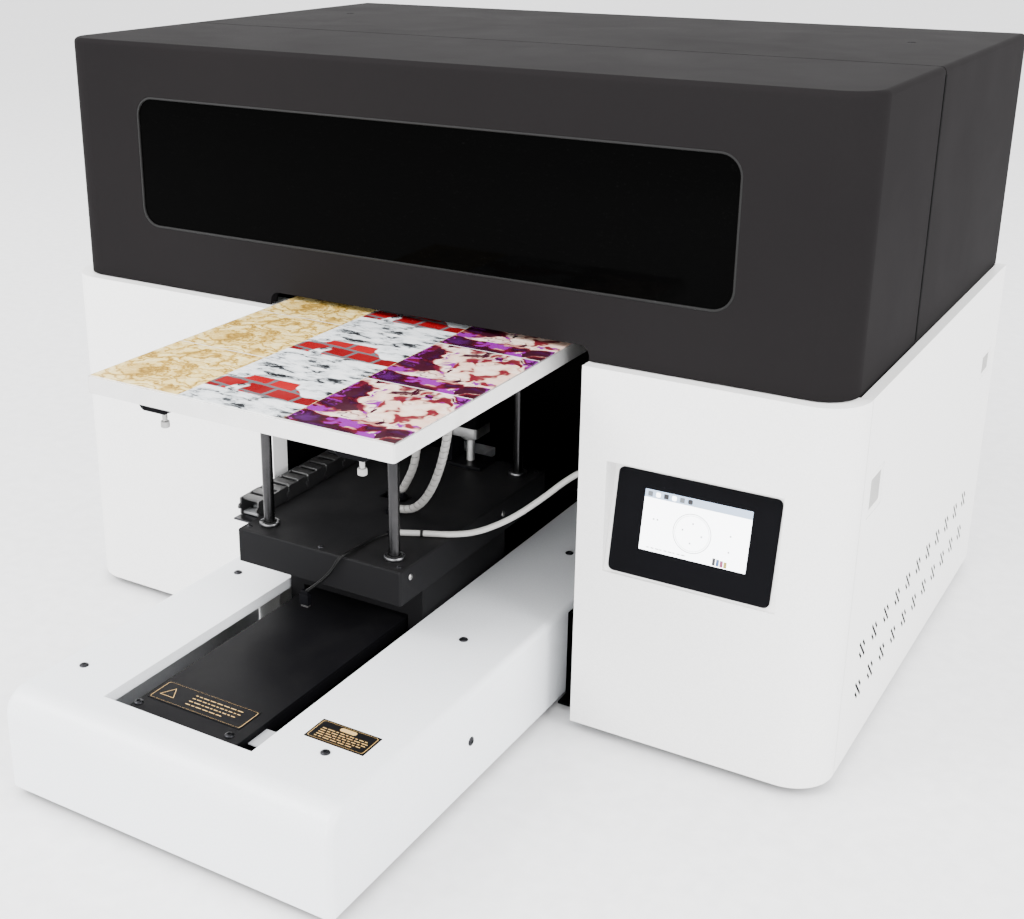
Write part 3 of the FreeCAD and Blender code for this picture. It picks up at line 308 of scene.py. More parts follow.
PAINT = ((0.90, 0.895, 0.885), (0.87, 0.865, 0.855), 0.34, 700, 0.05, 0.0008)
WHITE = coated("white_powder_coat", *PAINT)
# The rear panel's white coat, with painted shade on its inner face.
REAR_WHITE_SHADED = shade_inside_face(coated("rear_panel_coat_shaded", *PAINT, shine=0.2))
# Painted shade: the latch scoops' grey stands for the shade in their recess.
SCOOP_SHADE_GREY = coated("latch_scoop_shade", (0.40, 0.397, 0.39), (0.36, 0.357, 0.35), 0.5, 700, 0.08, 0.0004)
HANGER_GREY = coated("hanger_coat", (0.42, 0.43, 0.45), (0.38, 0.39, 0.41), 0.4, 700, 0.05, 0.0004)
TRAY_WHITE = coated("tray_powder_coat", (0.86, 0.88, 0.91), (0.83, 0.855, 0.885), 0.32, 700, 0.05, 0.0008)
CHARCOAL = coated("charcoal_powder_coat", (0.0112, 0.0103, 0.0106), (0.0096, 0.0088, 0.0092),
                  0.44, 1100, 0.14, 0.0008, shine=0.002)
SATIN_BLACK = coated("satin_black_plate", (0.0040, 0.0039, 0.0046), (0.0032, 0.0032, 0.0038),
                     0.32, 1300, 0.05, 0.0005, 0.012, shine=0.03)
CARRIAGE_BLACK = coated("carriage_texture", (0.0082, 0.0080, 0.0086), (0.0066, 0.0066, 0.0071),
                        0.50, 800, 0.2, 0.0008, 0.02, shine=0.04)
LINER_BLACK = coated("liner_black", (0.0016, 0.0016, 0.0018), (0.0011, 0.0011, 0.0012),
                     0.62, 600, 0.10, 0.0005, shine=0.01)
MOULDED_BLACK = coated("moulded_black", (0.0032, 0.0032, 0.0040), (0.0026, 0.0026, 0.0033),
                       0.45, 1500, 0.08, 0.0006, shine=0.02)
LINK_BLACK = coated("nylon_black", (0.014, 0.014, 0.0145), (0.009, 0.009, 0.0095),
                    0.42, 900, 0.10, 0.0004, 0.12)
LINK_GREY = coated("nylon_grey", (0.20, 0.205, 0.21), (0.15, 0.155, 0.16), 0.40, 900, 0.08, 0.0004, 0.10)
RUBBER = coated("foot_rubber", (0.008, 0.008, 0.008), (0.005, 0.005, 0.005), 0.70, 500, 0.20, shine=0.2)
CABLE_GREY = coated("cable_jacket", (0.36, 0.355, 0.34), (0.30, 0.295, 0.285), 0.46, 600, 0.12, 0)
WRAP_GREY = coated("spiral_wrap", (0.30, 0.29, 0.28), (0.22, 0.215, 0.205), 0.38, 500, 0.10, 0)
WIRE_BLACK = coated("wire_black", (0.004, 0.004, 0.004), (0.003, 0.003, 0.003),
                    0.42, 600, 0.10, 0, shine=0.12)
WIRE_GREY = coated("wire_grey", (0.12, 0.12, 0.12), (0.08, 0.08, 0.08), 0.42, 600, 0.10, 0)
HEAD_GREY = coated("head_grey", (0.10, 0.105, 0.11), (0.08, 0.082, 0.085), 0.45, 800, 0.10)
BOARD_GREEN = coated("circuit_board", (0.02, 0.11, 0.05), (0.01, 0.07, 0.03), 0.38, 300, 0.20)
INK_WHITE = coated("ink_bottle", (0.50, 0.50, 0.50), (0.42, 0.42, 0.42), 0.40, 500, 0.06)
GOLD_INK = coated("gold_print", (0.62, 0.40, 0.14), (0.50, 0.31, 0.10), 0.40, 900, 0.03, 0)
STEEL_BLACK = metal("black_oxide", (0.045, 0.045, 0.05), (0.02, 0.02, 0.022), 0.34)
STEEL_ROD = metal("ground_rod", (0.050, 0.049, 0.050), (0.026, 0.026, 0.027), 0.24, (1, 1, 30), 500, 0.04, 0)
STEEL_TURNED = metal("turned_steel", (0.20, 0.20, 0.205), (0.11, 0.11, 0.115), 0.30, (1, 1, 12))
NICKEL = metal("nickel_plate", (0.46, 0.45, 0.44), (0.26, 0.255, 0.25), 0.30, (1, 1, 6), 800, 0.05, 0.0002)
ALUMINIUM = metal("blasted_aluminium", (0.86, 0.855, 0.845), (0.78, 0.775, 0.765),
                  0.48, (1, 1, 1), 1400, 0.14, 0.0008)
EXTRUSION = metal("extruded_aluminium", (0.45, 0.46, 0.47), (0.36, 0.37, 0.38), 0.38, (1, 18, 18), 400, 0.06)
MOTOR_CAP = metal("motor_cap", (0.30, 0.30, 0.30), (0.20, 0.20, 0.20), 0.44, (1, 1, 1), 900, 0.12)
SCREEN_PAINTS = [lit("screen_" + name, colour, power) for name, colour, power in (
    ("white", (0.95, 0.97, 1.0), 9.0),
    ("blue", (0.52, 0.66, 0.88), 3.2),
    ("grey", (0.45, 0.50, 0.56), 0.9),
    ("black", (0.02, 0.02, 0.03), 0.3),
    ("cyan", (0.10, 0.32, 0.85), 1.0),
    ("magenta", (0.85, 0.08, 0.35), 1.0),
    ("yellow", (0.95, 0.72, 0.08), 1.3),
    ("line", (0.70, 0.72, 0.75), 2.2))]

NODE_MATERIALS = {
    WHITE: ["left_front_cover", "right_front_cover", "left_side_panel", "right_side_panel",
            "front_latch", "rear_latch"],
    REAR_WHITE_SHADED: ["rear_panel"],
    TRAY_WHITE: ["tray_cover"],
    CHARCOAL: ["hood_front_cover", "hood_rear_cover"],
    SATIN_BLACK: ["y_cover_plate", "y_base_beam"],
    CARRIAGE_BLACK: ["carriage_box", "carriage_saddle"],
    LINER_BLACK: ["bay_liners", "base_pan", "side_frames"],
    MOULDED_BLACK: ["hmi_bezel", "power_inlet", "power_switch", "cable_gland"],
    RUBBER: ["feet"],
    STEEL_BLACK: ["hinge_brackets", "hinge_arms"],
    STEEL_ROD: ["guide_rods", "lift_screw"],
    STEEL_TURNED: ["rod_bushes", "y_rails", "y_ballscrew", "bearing_blocks", "screw_supports", "ball_nut"],
    ALUMINIUM: ["table_plate", "lift_pulley", "lift_nut", "x_pulley", "power_supply"],
    EXTRUSION: ["gantry"],
    HEAD_GREY: ["head_carriage", "print_heads", "uv_lamps", "capping_station"],
    MOTOR_CAP: ["y_motor", "x_motor"],
    INK_WHITE: ["ink_tanks"],
    BOARD_GREEN: ["control_board"],
    SCREEN_PAINTS[0]: ["hmi_screen"],
}


def dress(thing, material):
    thing.data.materials.clear()
    thing.data.materials.append(material)


def dress_nodes():
    for material, nodes in NODE_MATERIALS.items():
        for node in nodes:
            dress(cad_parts[node], material)
    dress(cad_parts["window_pane"], window_acrylic())
    dress(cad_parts["sample_sheet"], print_sample())


# ---------- mesh helpers


def add(name, data):
    """A new object in the scene."""
    thing = bpy.data.objects.new(name, data)
    bpy.context.scene.collection.objects.link(thing)
    return thing


class Shape:
    """A mesh under construction, in millimetres, with a material for each face."""

    def __init__(self, name, *materials):
        self.name, self.materials, self.mesh, self.paint = name, materials, bmesh.new(), 0

    def loop_surface(self, rings, closed=True, caps=True):
        """Joins rings of points into a surface; caps close its two ends."""
        rows = [[self.mesh.verts.new(point) for point in ring] for ring in rings]
        count = len(rows[0])
        for low, high in zip(rows, rows[1:]):
            for i in range(count if closed else count - 1):
                j = (i + 1) % count
                self.face(low[i], low[j], high[j], high[i])
        if caps:
            self.face(*reversed(rows[0]))
            self.face(*rows[-1])
        return rows

    def face(self, *points):
        made = self.mesh.faces.new(points)
        made.material_index = self.paint
        made.smooth = True
        return made

    def lathe(self, profile, place, sides=40, wobble=None):
        """Turns (radius, height) pairs about the local Z axis; wobble changes a radius by its angle."""
        rings = []
        for number, (radius, height) in enumerate(profile):
            ring = []
            for i in range(sides):
                angle = math.tau * i / sides
                length = radius * (wobble(number, angle) if wobble else 1)
                ring.append(place @ Vector((length * math.cos(angle), length * math.sin(angle), height)))
            rings.append(ring)
        self.loop_surface(rings)

    def slab(self, outline, low, high, place=Matrix(), edge=0.0):
        """A plate from a flat outline, with its upper edge chamfered."""
        middle = sum((Vector(p) for p in outline), Vector((0, 0))) / len(outline)
        inner = [(Vector(p) - middle) * max(0.0, 1 - edge / max((Vector(p) - middle).length, 1e-6)) + middle
                 for p in outline]
        levels = [(outline, low), (outline, high - edge)]
        if edge:
            levels.append((inner, high))
        self.loop_surface([[place @ Vector((x, y, z)) for x, y in line] for line, z in levels])

    def finish(self, body=None, sharp=40, replaces=()):
        """Makes the object, in metres, and says what it belongs to."""
        bmesh.ops.scale(self.mesh, vec=(MM, MM, MM), verts=self.mesh.verts)
        bmesh.ops.recalc_face_normals(self.mesh, faces=self.mesh.faces)
        limit = math.radians(sharp)
        for edge in self.mesh.edges:
            edge.smooth = not (len(edge.link_faces) == 2 and edge.calc_face_angle(0) > limit)
        data = bpy.data.meshes.new(self.name)
        self.mesh.to_mesh(data)
        self.mesh.free()
        piece = add(self.name, data)
        for material in self.materials:
            data.materials.append(material)
        if body:
            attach(piece, body)
        if replaces:
            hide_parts(*replaces)
        return piece


def at(x, y, z):
    return Matrix.Translation((x, y, z))


def facing(direction, x, y, z):
    """A place whose local Z points along a direction."""
    turn = Vector(direction).to_track_quat("Z", "Y").to_matrix().to_4x4()
    return at(x, y, z) @ turn


def rounded(width, height, radius, steps=6):
    """A rounded rectangle about the origin."""
    points = []
    for number, (sx, sy) in enumerate(((1, 1), (-1, 1), (-1, -1), (1, -1))):
        for step in range(steps + 1):
            angle = math.pi / 2 * (number + step / steps)
            points.append((sx * (width / 2 - radius) + radius * math.cos(angle),
                           sy * (height / 2 - radius) + radius * math.sin(angle)))
    return points


def disc(radius, sides):
    angles = [math.tau * i / sides for i in range(sides)]
    return [(radius * math.cos(angle), radius * math.sin(angle)) for angle in angles]


def corners(left, right, low, high):
    """A rectangle's four corners."""
    return [(left, low), (right, low), (right, high), (left, high)]


def plate_rings(levels, place, steps=6):
    """Rings of points from rounded rectangles, each (width, height, corner radius, rise)."""
    return [[place @ Vector((x, y, rise)) for x, y in rounded(width, height, corner, steps)]
            for width, height, corner, rise in levels]


def route(points, resolution=10):
    """Points along the smooth NURBS line whose control points are given in millimetres."""
    curve = bpy.data.curves.new("route", "CURVE")
    curve.dimensions = "3D"
    curve.resolution_u = resolution
    spline = curve.splines.new("NURBS")
    spline.points.add(len(points) - 1)
    for control, point in zip(spline.points, points):
        control.co = (*point, 1)
    spline.order_u = 3
    spline.use_endpoint_u = True
    holder = add("route", curve)
    graph = bpy.context.evaluated_depsgraph_get()
    mesh = bpy.data.meshes.new_from_object(holder.evaluated_get(graph))
    line = [v.co.copy() for v in mesh.vertices]
    bpy.data.objects.remove(holder)
    bpy.data.meshes.remove(mesh)
    bpy.data.curves.remove(curve)
    return line


def stations(line):
    """Distance, point and two cross directions at each point of a line, without twist."""
    tangents = [(b - a).normalized() for a, b in zip(line, line[1:])]
    tangents.append(tangents[-1])
    side = tangents[0].orthogonal().normalized()
    travelled, result = 0.0, []
    for i, point in enumerate(line):
        if i:
            travelled += (point - line[i - 1]).length
            side = tangents[i - 1].rotation_difference(tangents[i]) @ side
        side = (side - tangents[i] * side.dot(tangents[i])).normalized()
        result.append((travelled, point, side, tangents[i].cross(side)))
    return result


def tube(shape, line, radius, sides=20):
    ring = disc(radius, sides)
    shape.loop_surface([[point + side * x + up * y for x, y in ring]
                        for _, point, side, up in stations(line)])


def wrap(shape, line, inner, outer, pitch, share=0.86, turn_steps=26, width_steps=5):
    """A spiral band wound round a line, with its outer edges rounded off."""
    marks = stations(line)
    length = marks[-1][0]
    edge = 0.25

    def frame_at(distance):
        distance = min(max(distance, 0.0), length)
        index = next((i for i, m in enumerate(marks) if m[0] >= distance), len(marks) - 1)
        if index == 0:
            return marks[0][1:]
        before, after = marks[index - 1], marks[index]
        part = (distance - before[0]) / max(after[0] - before[0], 1e-9)
        return tuple(a.lerp(b, part) for a, b in zip(before[1:], after[1:]))

    parts = [i / width_steps for i in range(width_steps + 1)]
    across = [(part, outer) for part in parts] + [(part, inner) for part in reversed(parts)]
    rings = []
    for step in range(int((length / pitch - share) * turn_steps) + 1):
        angle = math.tau * step / turn_steps
        ring = []
        for part, radius in across:
            point, side, up = frame_at(pitch * (step / turn_steps + share * part))
            crown = radius - (edge if radius == outer and part in (0.0, 1.0) else 0.0)
            out = side.normalized() * math.cos(angle) + up.normalized() * math.sin(angle)
            ring.append(point + out * crown)
        rings.append(ring)
    shape.loop_surface(rings)


def edge_line(shape, outline, height, width, place):
    """A flat ring that follows an outline."""
    middle = sum((Vector(p) for p in outline), Vector((0, 0))) / len(outline)
    rows = []
    for point in outline:
        out = (Vector(point) - middle).normalized() * width
        rows.append((Vector(point), Vector(point) + out))
    inner = [shape.mesh.verts.new(place @ Vector((*a, height))) for a, _ in rows]
    outer = [shape.mesh.verts.new(place @ Vector((*b, height))) for _, b in rows]
    for i in range(len(rows)):
        j = (i + 1) % len(rows)
        shape.face(inner[i], inner[j], outer[j], outer[i])


def screw_profile(radius, height):
    """A button head's outline, from its rim to the edge of its socket."""
    rim, dome = height * 0.22, []
    for step in range(9):
        angle = math.pi / 2 * (step / 8) * 0.86
        dome.append((radius * math.cos(angle), rim + (height - rim) * math.sin(angle)))
    return [(radius * 0.97, 0.0), (radius, height * 0.1)] + [p for p in dome if p[0] > radius * 0.5]


def button_screw(shape, place, radius, height, turn=0.0):
    """A button-head screw with a hexagon socket."""
    socket = radius * 0.42

    def hexagon(number, angle):
        if number < count:
            return 1.0
        part = (angle + turn) % (math.pi / 3) - math.pi / 6
        return math.cos(math.pi / 6) / math.cos(part) * 1.1

    profile = screw_profile(radius, height)
    count = len(profile)
    top = profile[-1][1] + height * 0.06
    profile += [(socket * 1.12, top), (socket, top - height * 0.04)]
    profile += [(socket, height * 0.35), (0.1, height * 0.28)]
    shape.lathe(profile, place, 36, hexagon)


# ---------- places taken from the frame


def extent(node):
    """A node's lowest and highest corners, in millimetres."""
    return [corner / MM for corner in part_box(node)]


BOX_SIDE, BOX_TOP = extent("carriage_box")[1].xz
TRAY_RIGHT, TRAY_TOP = extent("tray_cover")[1].xz
PLATE_TOP = extent("y_cover_plate")[1].z
BED_BASE = extent("table_plate")[0].z
SIDE_FACE = extent("right_side_panel")[1].x
HOOD_SIDE, HOOD_TOP = extent("hood_rear_cover")[1].xz
HOOD_FRONT = extent("hood_front_cover")[0].y
ROD_SPOTS = [(x, y) for x in (-108.5, 52.5) for y in (-217, 47)]
LEVEL_SPOTS = ((-95, -383), (130, -383), (-95, -20), (130, -20))
CHAIN_X = -147


# ---------- casing


def build_window_gasket():
    """The rubber section that holds the pane in its opening."""
    low, high = extent("window_pane")
    lap, radius = 8, 23
    width, height = high.x - low.x - 2 * lap, high.z - low.z - 2 * lap
    shape = Shape("window_gasket", RUBBER)
    middle = (low + high) / 2
    place = facing((0, -1, 0), middle.x, HOOD_FRONT, middle.z)
    profile = [(0, -1.9), (0, -0.4), (-0.5, 0), (-2, 0), (-2.6, -0.6), (-2.6, -1.9)]
    levels = [(width + 2 * grow, height + 2 * grow, radius + grow, rise) for grow, rise in profile]
    shape.loop_surface(plate_rings(levels, place, 10), caps=False)
    shape.finish("hood")


def build_cover_screws():
    """The button-head screws of the tray, the cover plate and the hood's rear cover."""
    shape = Shape("button_screws", STEEL_BLACK)
    radius, height, sunk = 4.75, 2.3, 0.1
    for number, (x, y) in enumerate(((-177, -193), (-177, -436), (120, -436), (121, -193), (122, 49))):
        button_screw(shape, at(x, y, TRAY_TOP - sunk), radius, height, number)
    for number, x in enumerate((-90, 22)):
        button_screw(shape, at(x, -452, PLATE_TOP - sunk), radius, height, number + 0.4)
    button_screw(shape, facing((1, 0, 0), TRAY_RIGHT - sunk, -280, 60.5), radius, height, 0.7)
    for number, x in enumerate((-373, 382)):
        button_screw(shape, at(x, 334, HOOD_TOP - height), radius, height - sunk, number + 0.2)
    shape.finish("frame", replaces=["cover_screws"])


def build_feet():
    """Ribbed rubber feet with a hole in the middle."""
    shape = Shape("ribbed_feet", RUBBER)
    spots = ((-430, -70), (430, -70), (-430, 470), (430, 470), (-180, -485), (153, -485))
    profile = [(9, 3.0), (9, 0.4), (13, 0.0), (14, 0.6), (14.8, 2.2), (14.5, 2.6), (15.8, 3.0), (16.2, 4.6),
               (15.9, 5.0), (17.2, 5.4), (17.9, 7.2), (17.9, 8.0)]
    for x, y in spots:
        shape.lathe(profile, at(x, y, 0), 48)
    shape.finish("frame", replaces=["feet"])


def build_latches():
    """Finger flaps in the side panel: a flat rim round a scoop that rises to a lip at its foot, with the
    scoop's grey painted as shade in the recess.
    """
    # each level: inset of the sides, inset of the ends, shift upwards, rise; from the back to the front
    levels = [(12.5, 12.5, 5, -6), (8.2, 9.2, 3.5, -5), (3.8, 4.2, 0.5, 0), (0, 0, 0, 0.3), (0, 0, 0, 1.7),
              (0.3, 0.3, 0, 2), (4, 4.5, 0, 2), (4.8, 5.2, 0.5, 0.8), (9, 10, 3.5, -4), (13, 13, 5, -5)]
    gauge, full_height = 2, 43
    scoop_edge, scoop_middle = SIDE_FACE - 0.9, SIDE_FACE - 2.3
    for node, middle_y, middle_z, width, height in (("front_latch", -31, 304, 47, full_height),
                                                    ("rear_latch", 458, 296, 47, 29)):
        shape = Shape(node + "_plate", WHITE, SCOOP_SHADE_GREY)
        share = height / full_height
        rings = []
        for inset_x, inset_y, shift, rise in levels:
            place = facing((1, 0, 0), SIDE_FACE - gauge, middle_y, middle_z + shift * share)
            outline = (width - 2 * inset_x, height - 2 * inset_y * share, 2 * share, rise)
            rings += plate_rings([outline], place)
        shape.loop_surface(rings)
        # the scoop's inner faces take the grey: painted shade in the recess
        for facet in shape.mesh.faces:
            inside = all(corner.co.x < scoop_edge for corner in facet.verts)
            if inside and facet.calc_center_median().x < scoop_middle:
                facet.material_index = 1
        shape.finish(node, replaces=[node])


def build_cover_seams():
    """Dark strips in the joints between the front covers and the side panels."""
    shape = Shape("cover_seams", LINER_BLACK)
    for side in (-1, 1):
        x = side * (SIDE_FACE - 1.1)
        shape.face(*[shape.mesh.verts.new((x, y, z)) for y, z in corners(-75.45, -74.55, 12, 407.5)])
    shape.finish("frame")


def build_hood_seal():
    """A black rubber seal on the front edge of the hood's rear cover, one strip on each side."""
    shape = Shape("hood_seal", LINER_BLACK)
    for side in (-1, 1):
        outline = corners(118.6, 124.2, 412, 678)
        rings = [[Vector((side * x, y, z)) for y, z in outline] for x in (HOOD_SIDE - 2, HOOD_SIDE + 0.35)]
        shape.loop_surface(rings)
    shape.finish("frame")


def build_hood_lip():
    """A folded rim round the cut-out in the hood's front."""
    shape = Shape("notch_rim", CHARCOAL)
    left, right, foot, top, radius, gauge = -179, 213, 411.2, 425, 11, 1.2
    path = [(left, foot)]
    for middle, start in ((left + radius, math.pi), (right - radius, math.pi / 2)):
        for step in range(7):
            angle = start - math.pi / 2 * step / 6
            path.append((middle + radius * math.cos(angle), top - radius + radius * math.sin(angle)))
    path.append((right, foot))
    centre = Vector(((left + right) / 2, 405))
    section = ((0.05, 0), (0, 0.4), (0, 12), (gauge, 12), (gauge, 2.1))
    rings = []
    for x, z in path:
        out = (Vector((x, z)) - centre).normalized()
        rings.append([Vector((x + out.x * grow, HOOD_FRONT + depth, z + out.y * grow))
                      for grow, depth in section])
    shape.loop_surface(rings, caps=False)
    shape.finish("hood")


# ---------- operator panel


def panel_place():
    """The operator panel's own frame: X right, Y up its face, Z out of it, from its lower left corner."""
    lean = math.atan2(22, 120)
    turn = Matrix.Rotation(math.pi / 2 - lean, 4, "X")
    foot = Vector((247, -119.5, 195))
    up = Vector((0, math.sin(lean), math.cos(lean)))
    return at(*(foot + up * 2.5)) @ turn


def panel_patch(shape, place, left, low, width, height, lift, radius=0.02):
    """A flat block on the panel's face."""
    outline = rounded(width, height, radius, 4)
    shape.slab(outline, 0, 0.05, place @ at(left + width / 2, low + height / 2, lift))


def build_panel():
    """Moulded bezel with a chamfered rim and a step down to the glass."""
    shape = Shape("panel_bezel", MOULDED_BLACK)
    whole, glass = panel_place() @ at(84.5, 54, 0), panel_place() @ at(86.5, 60, 0)
    rings = plate_rings([(169, 108, 6, 0), (169, 108, 6, 1.6), (167.4, 106.4, 5.2, 2.5)], whole)
    rings += plate_rings([(116, 67, 1.5, 2.5), (115, 66, 1.2, 1.9), (114.6, 65.6, 1, 1.9)], glass)
    shape.loop_surface(rings)
    shape.finish("frame", replaces=["hmi_bezel"])


def build_screen():
    """The lit screen: a bar of small marks, a faint ring and four ink levels, with no words."""
    shape = Shape("screen_face", *SCREEN_PAINTS)
    face = panel_place() @ at(31, 29, 2.5)
    width, height, bar, mark = 111, 62, 8, 5
    panel_patch(shape, face, 0, 0, width, height, 0, 0.8)
    shape.paint = 1
    panel_patch(shape, face, 0, height - bar, width, bar, 0.06)
    for number, paint in enumerate((2, 0, 3, 0, 2, 3)):
        shape.paint = paint
        panel_patch(shape, face, 3 + 8.4 * number, height - 6.6, mark, mark, 0.12, 1.6 if number % 2 else 0.6)
    shape.paint = 7
    for radius, line in ((19.2, 0.7), (17.6, 0.35)):
        edge_line(shape, disc(radius, 64), 0, line, face @ at(53, 27, 0.1))
    dot = 1.8
    for x, y in ((53, 37), (43, 29), (63, 26), (52, 17), (12, 33), (16, 33), (92, 33), (92, 17)):
        panel_patch(shape, face, x - dot / 2, y - dot / 2, dot, dot, 0.1, 0.8)
    for number in range(9):
        panel_patch(shape, face, 8 + 4.6 * number, 3, 2.4 + number % 3 * 0.7, 1.1, 0.1)
    for number, paint in enumerate((3, 4, 5, 6)):
        shape.paint = paint
        panel_patch(shape, face, 77 + 3.9 * number, 0.8, 3.1, 7.4 - number * 0.5, 0.12)
    shape.finish("frame", replaces=["hmi_screen"])


# ---------- tray, its plates and vents


def dash_row(shape, place, start, length, height, thick, seed):
    """A row of plain dashes of uneven length."""
    reach, gap = 0.0, 1.8
    while reach < length:
        dash = 2.5 + (seed * 37 + int(reach * 13)) % 6
        shape.slab(rounded(dash, thick, 0.1, 2), 0.5, 0.55, place @ at(start + reach + dash / 2, height, 0))
        reach += dash + gap


def build_plate_label():
    """Two thin bordered plates, with a triangle and plain dashes in place of words."""
    shape = Shape("notice_plates", SATIN_BLACK, GOLD_INK)
    gauge, ink, chamfer, line = 0.5, 0.53, 0.15, 0.5
    place, side = at(-33, -423, PLATE_TOP + 0.02), at(119, -407, TRAY_TOP + 0.02)
    shape.slab(rounded(114, 34, 0.6), 0, gauge, place, chamfer)
    shape.slab(rounded(66, 32, 0.8), 0, gauge, side, chamfer)
    shape.paint = 1
    edge_line(shape, rounded(110, 30, 2.5), ink, line, place)
    edge_line(shape, rounded(61, 27.5, 2.5), ink, line, side)
    angles = [math.radians(angle) for angle in (90, 210, 330)]
    triangle = [(9 * math.cos(angle), 9 * math.sin(angle)) for angle in angles]
    edge_line(shape, triangle, ink, 1.1, place @ at(-41, -2, 0))
    for row in range(4):
        dash_row(shape, place, -16, 56 - 16 * (row == 3), 8 - 5.4 * row, 1.0, row)
    shape.slab(rounded(18, 5.4, 2.6), 0.5, 0.55, side @ at(0, 9.2, 0))
    for row in range(5):
        dash_row(shape, side, -25, 48 - 9 * (row == 4), 3.2 - 3.4 * row, 0.95, row + 2)
    shape.finish("frame")


def build_slot_tab():
    """The pale end of the tray's hanger that shows in the slot."""
    shape = Shape("slot_tab", HANGER_GREY)
    shape.slab(corners(39, 61.8, -446, -418), 100.8, 102.4, edge=0.3)
    shape.finish("frame")


def build_plate_folds():
    """Folded edges along both sides of the cover plate."""
    shape = Shape("plate_folds", SATIN_BLACK)
    for left, right in ((-94, -92.6), (36.6, 38)):
        shape.slab(corners(left, right, -461.6, 499), 93.6, 105.2)
    shape.finish("frame")


def build_vent_shades():
    """Black slabs in the slanted slots of the vents: painted shade, for the dark inside each slot."""
    start, pitch, count, step, half_run, thick = -13, 44.5, 11, 5, 11.49, 1.19
    slots = ((-1, 0.42), (0, 1), (1, 0.42))
    spots = [(level, group, *slot) for level in (77, 123) for group in range(count) for slot in slots]
    for side, body in ((1, "right_panel"), (-1, "frame")):
        shape = Shape(f"vent_shade_{body}", LINER_BLACK)
        for level, group, offset, share in spots:
            y, z, reach = start + pitch * group + step * offset, level + step * offset, half_run * share
            outline = [(y + along * reach + over * thick, z - along * reach + over * thick)
                       for along, over in ((-1, -1), (1, -1), (1, 1), (-1, 1))]
            shape.loop_surface([[Vector((side * x, u, v)) for u, v in outline]
                                for x in (SIDE_FACE - 1.6, SIDE_FACE - 0.1)])
        shape.finish(body)


# ---------- carriage, rods and lift


def build_carriage_details():
    """Screws in the carriage's lid, and two larger ones in its right side."""
    shape = Shape("carriage_trim", STEEL_BLACK, NICKEL)
    for number, (x, y) in enumerate(((-124, -232), (-28, -235), (68, -232), (-124, 62), (68, 64))):
        button_screw(shape, at(x, y, BOX_TOP - 0.1), 2.9, 1.5, number * 0.5)
    shape.paint = 1
    for number, (y, z) in enumerate(((-224, 188), (-30, 184))):
        button_screw(shape, facing((1, 0, 0), BOX_SIDE - 0.1, y, z), 3.4, 1.8, number)
    shape.finish("carriage")


def build_bushes():
    """Flanged bushes with a seal ring and two small screws each."""
    shape = Shape("flanged_bushes", STEEL_TURNED, RUBBER, STEEL_BLACK)
    flange = [(6.1, -2), (8, -2), (8, 0), (10.8, 0.02), (11, 0.3), (11, 3.4), (10.5, 4), (8.6, 4), (8.3, 3.2),
              (7.7, 3.2), (6.12, 3.2)]
    seal = [(7.7, 3.1), (7.6, 4.3), (6.9, 4.6), (6.15, 4.2), (6.15, 3.1)]
    screw_circle = 9.6
    for x, y in ROD_SPOTS:
        place = at(x, y, BOX_TOP)
        shape.paint = 0
        shape.lathe(flange, place, 48)
        shape.paint = 1
        shape.lathe(seal, place, 40)
        shape.paint = 2
        for angle in (math.radians(30), math.radians(210)):
            spot = at(screw_circle * math.cos(angle), screw_circle * math.sin(angle), 3.9)
            button_screw(shape, place @ spot, 1.1, 0.7)
    shape.finish("carriage", replaces=["rod_bushes"])


def build_stepper():
    """Lift motor: stacked laminations between die-cast caps, on a bent bracket, with a connector."""
    shape = Shape("lift_stepper", LINER_BLACK, MOTOR_CAP, STEEL_BLACK, INK_WHITE, SATIN_BLACK)
    place, half = at(-13, 50, BOX_TOP), 17.5
    foot, waist, shoulder, top = 38, 49.5, 74.5, 86

    def block(grow, low, high, corner, edge=0.5):
        shape.slab(rounded(2 * half + 2 * grow, 2 * half + 2 * grow, corner), low, high, place, edge)

    shape.paint = 1
    block(0, foot, waist, 4)
    block(0, shoulder, top, 4)
    shape.paint = 0
    for level in range(int(shoulder - waist)):
        block(-0.7 - 0.25 * (level % 2), waist + level, waist + level + 1, 5, 0.2)
    shape.paint = 2
    for x in (-13, 13):
        for y in (-13, 13):
            button_screw(shape, place @ at(x, y, top - 0.5), 2.4, 1.2)
    shape.paint = 4
    shape.slab(rounded(48, 40, 1), 0, 4, place, 0.4)
    shape.slab(rounded(6.4, 28, 0.5), 4, top, place @ at(-20.8, 0, 0), 0.4)
    shape.paint = 1
    shape.lathe([(0.1, foot - 6), (10.6, foot - 6), (11, foot - 5.6), (11, foot)], place, 40)
    shape.paint = 3
    shape.slab(rounded(16, 3, 0.4), foot + 2, foot + 9, place @ at(0, 1.6 - half, 0), 0.3)
    shape.finish("carriage", replaces=["lift_motor"])


def build_level_screws():
    """Thin nickel screws with small knurled caps."""
    foot = 368

    def knurl(index, angle):
        return 1.0 + (0.03 * math.cos(22 * angle) if 2 <= index <= 5 else 0.0)

    profile = [(0.001, 0), (3.3, 0), (4.2, 0.7), (4.2, 2.6), (4.2, 4.6), (4.1, 6.2), (3.5, 6.9), (2.5, 7),
               (2.3, 7.6), (2.3, 8.5), (2.5, 9), (2.5, 27.8), (0.001, 28)]
    for number, (x, y) in enumerate(LEVEL_SPOTS, start=1):
        shape = Shape(f"knurled_screw_{number}", NICKEL)
        shape.lathe(profile, at(x, y, foot), 96, knurl)
        shape.finish(f"thumb_screw_{number}", 30, replaces=[f"thumb_screw_{number}"])


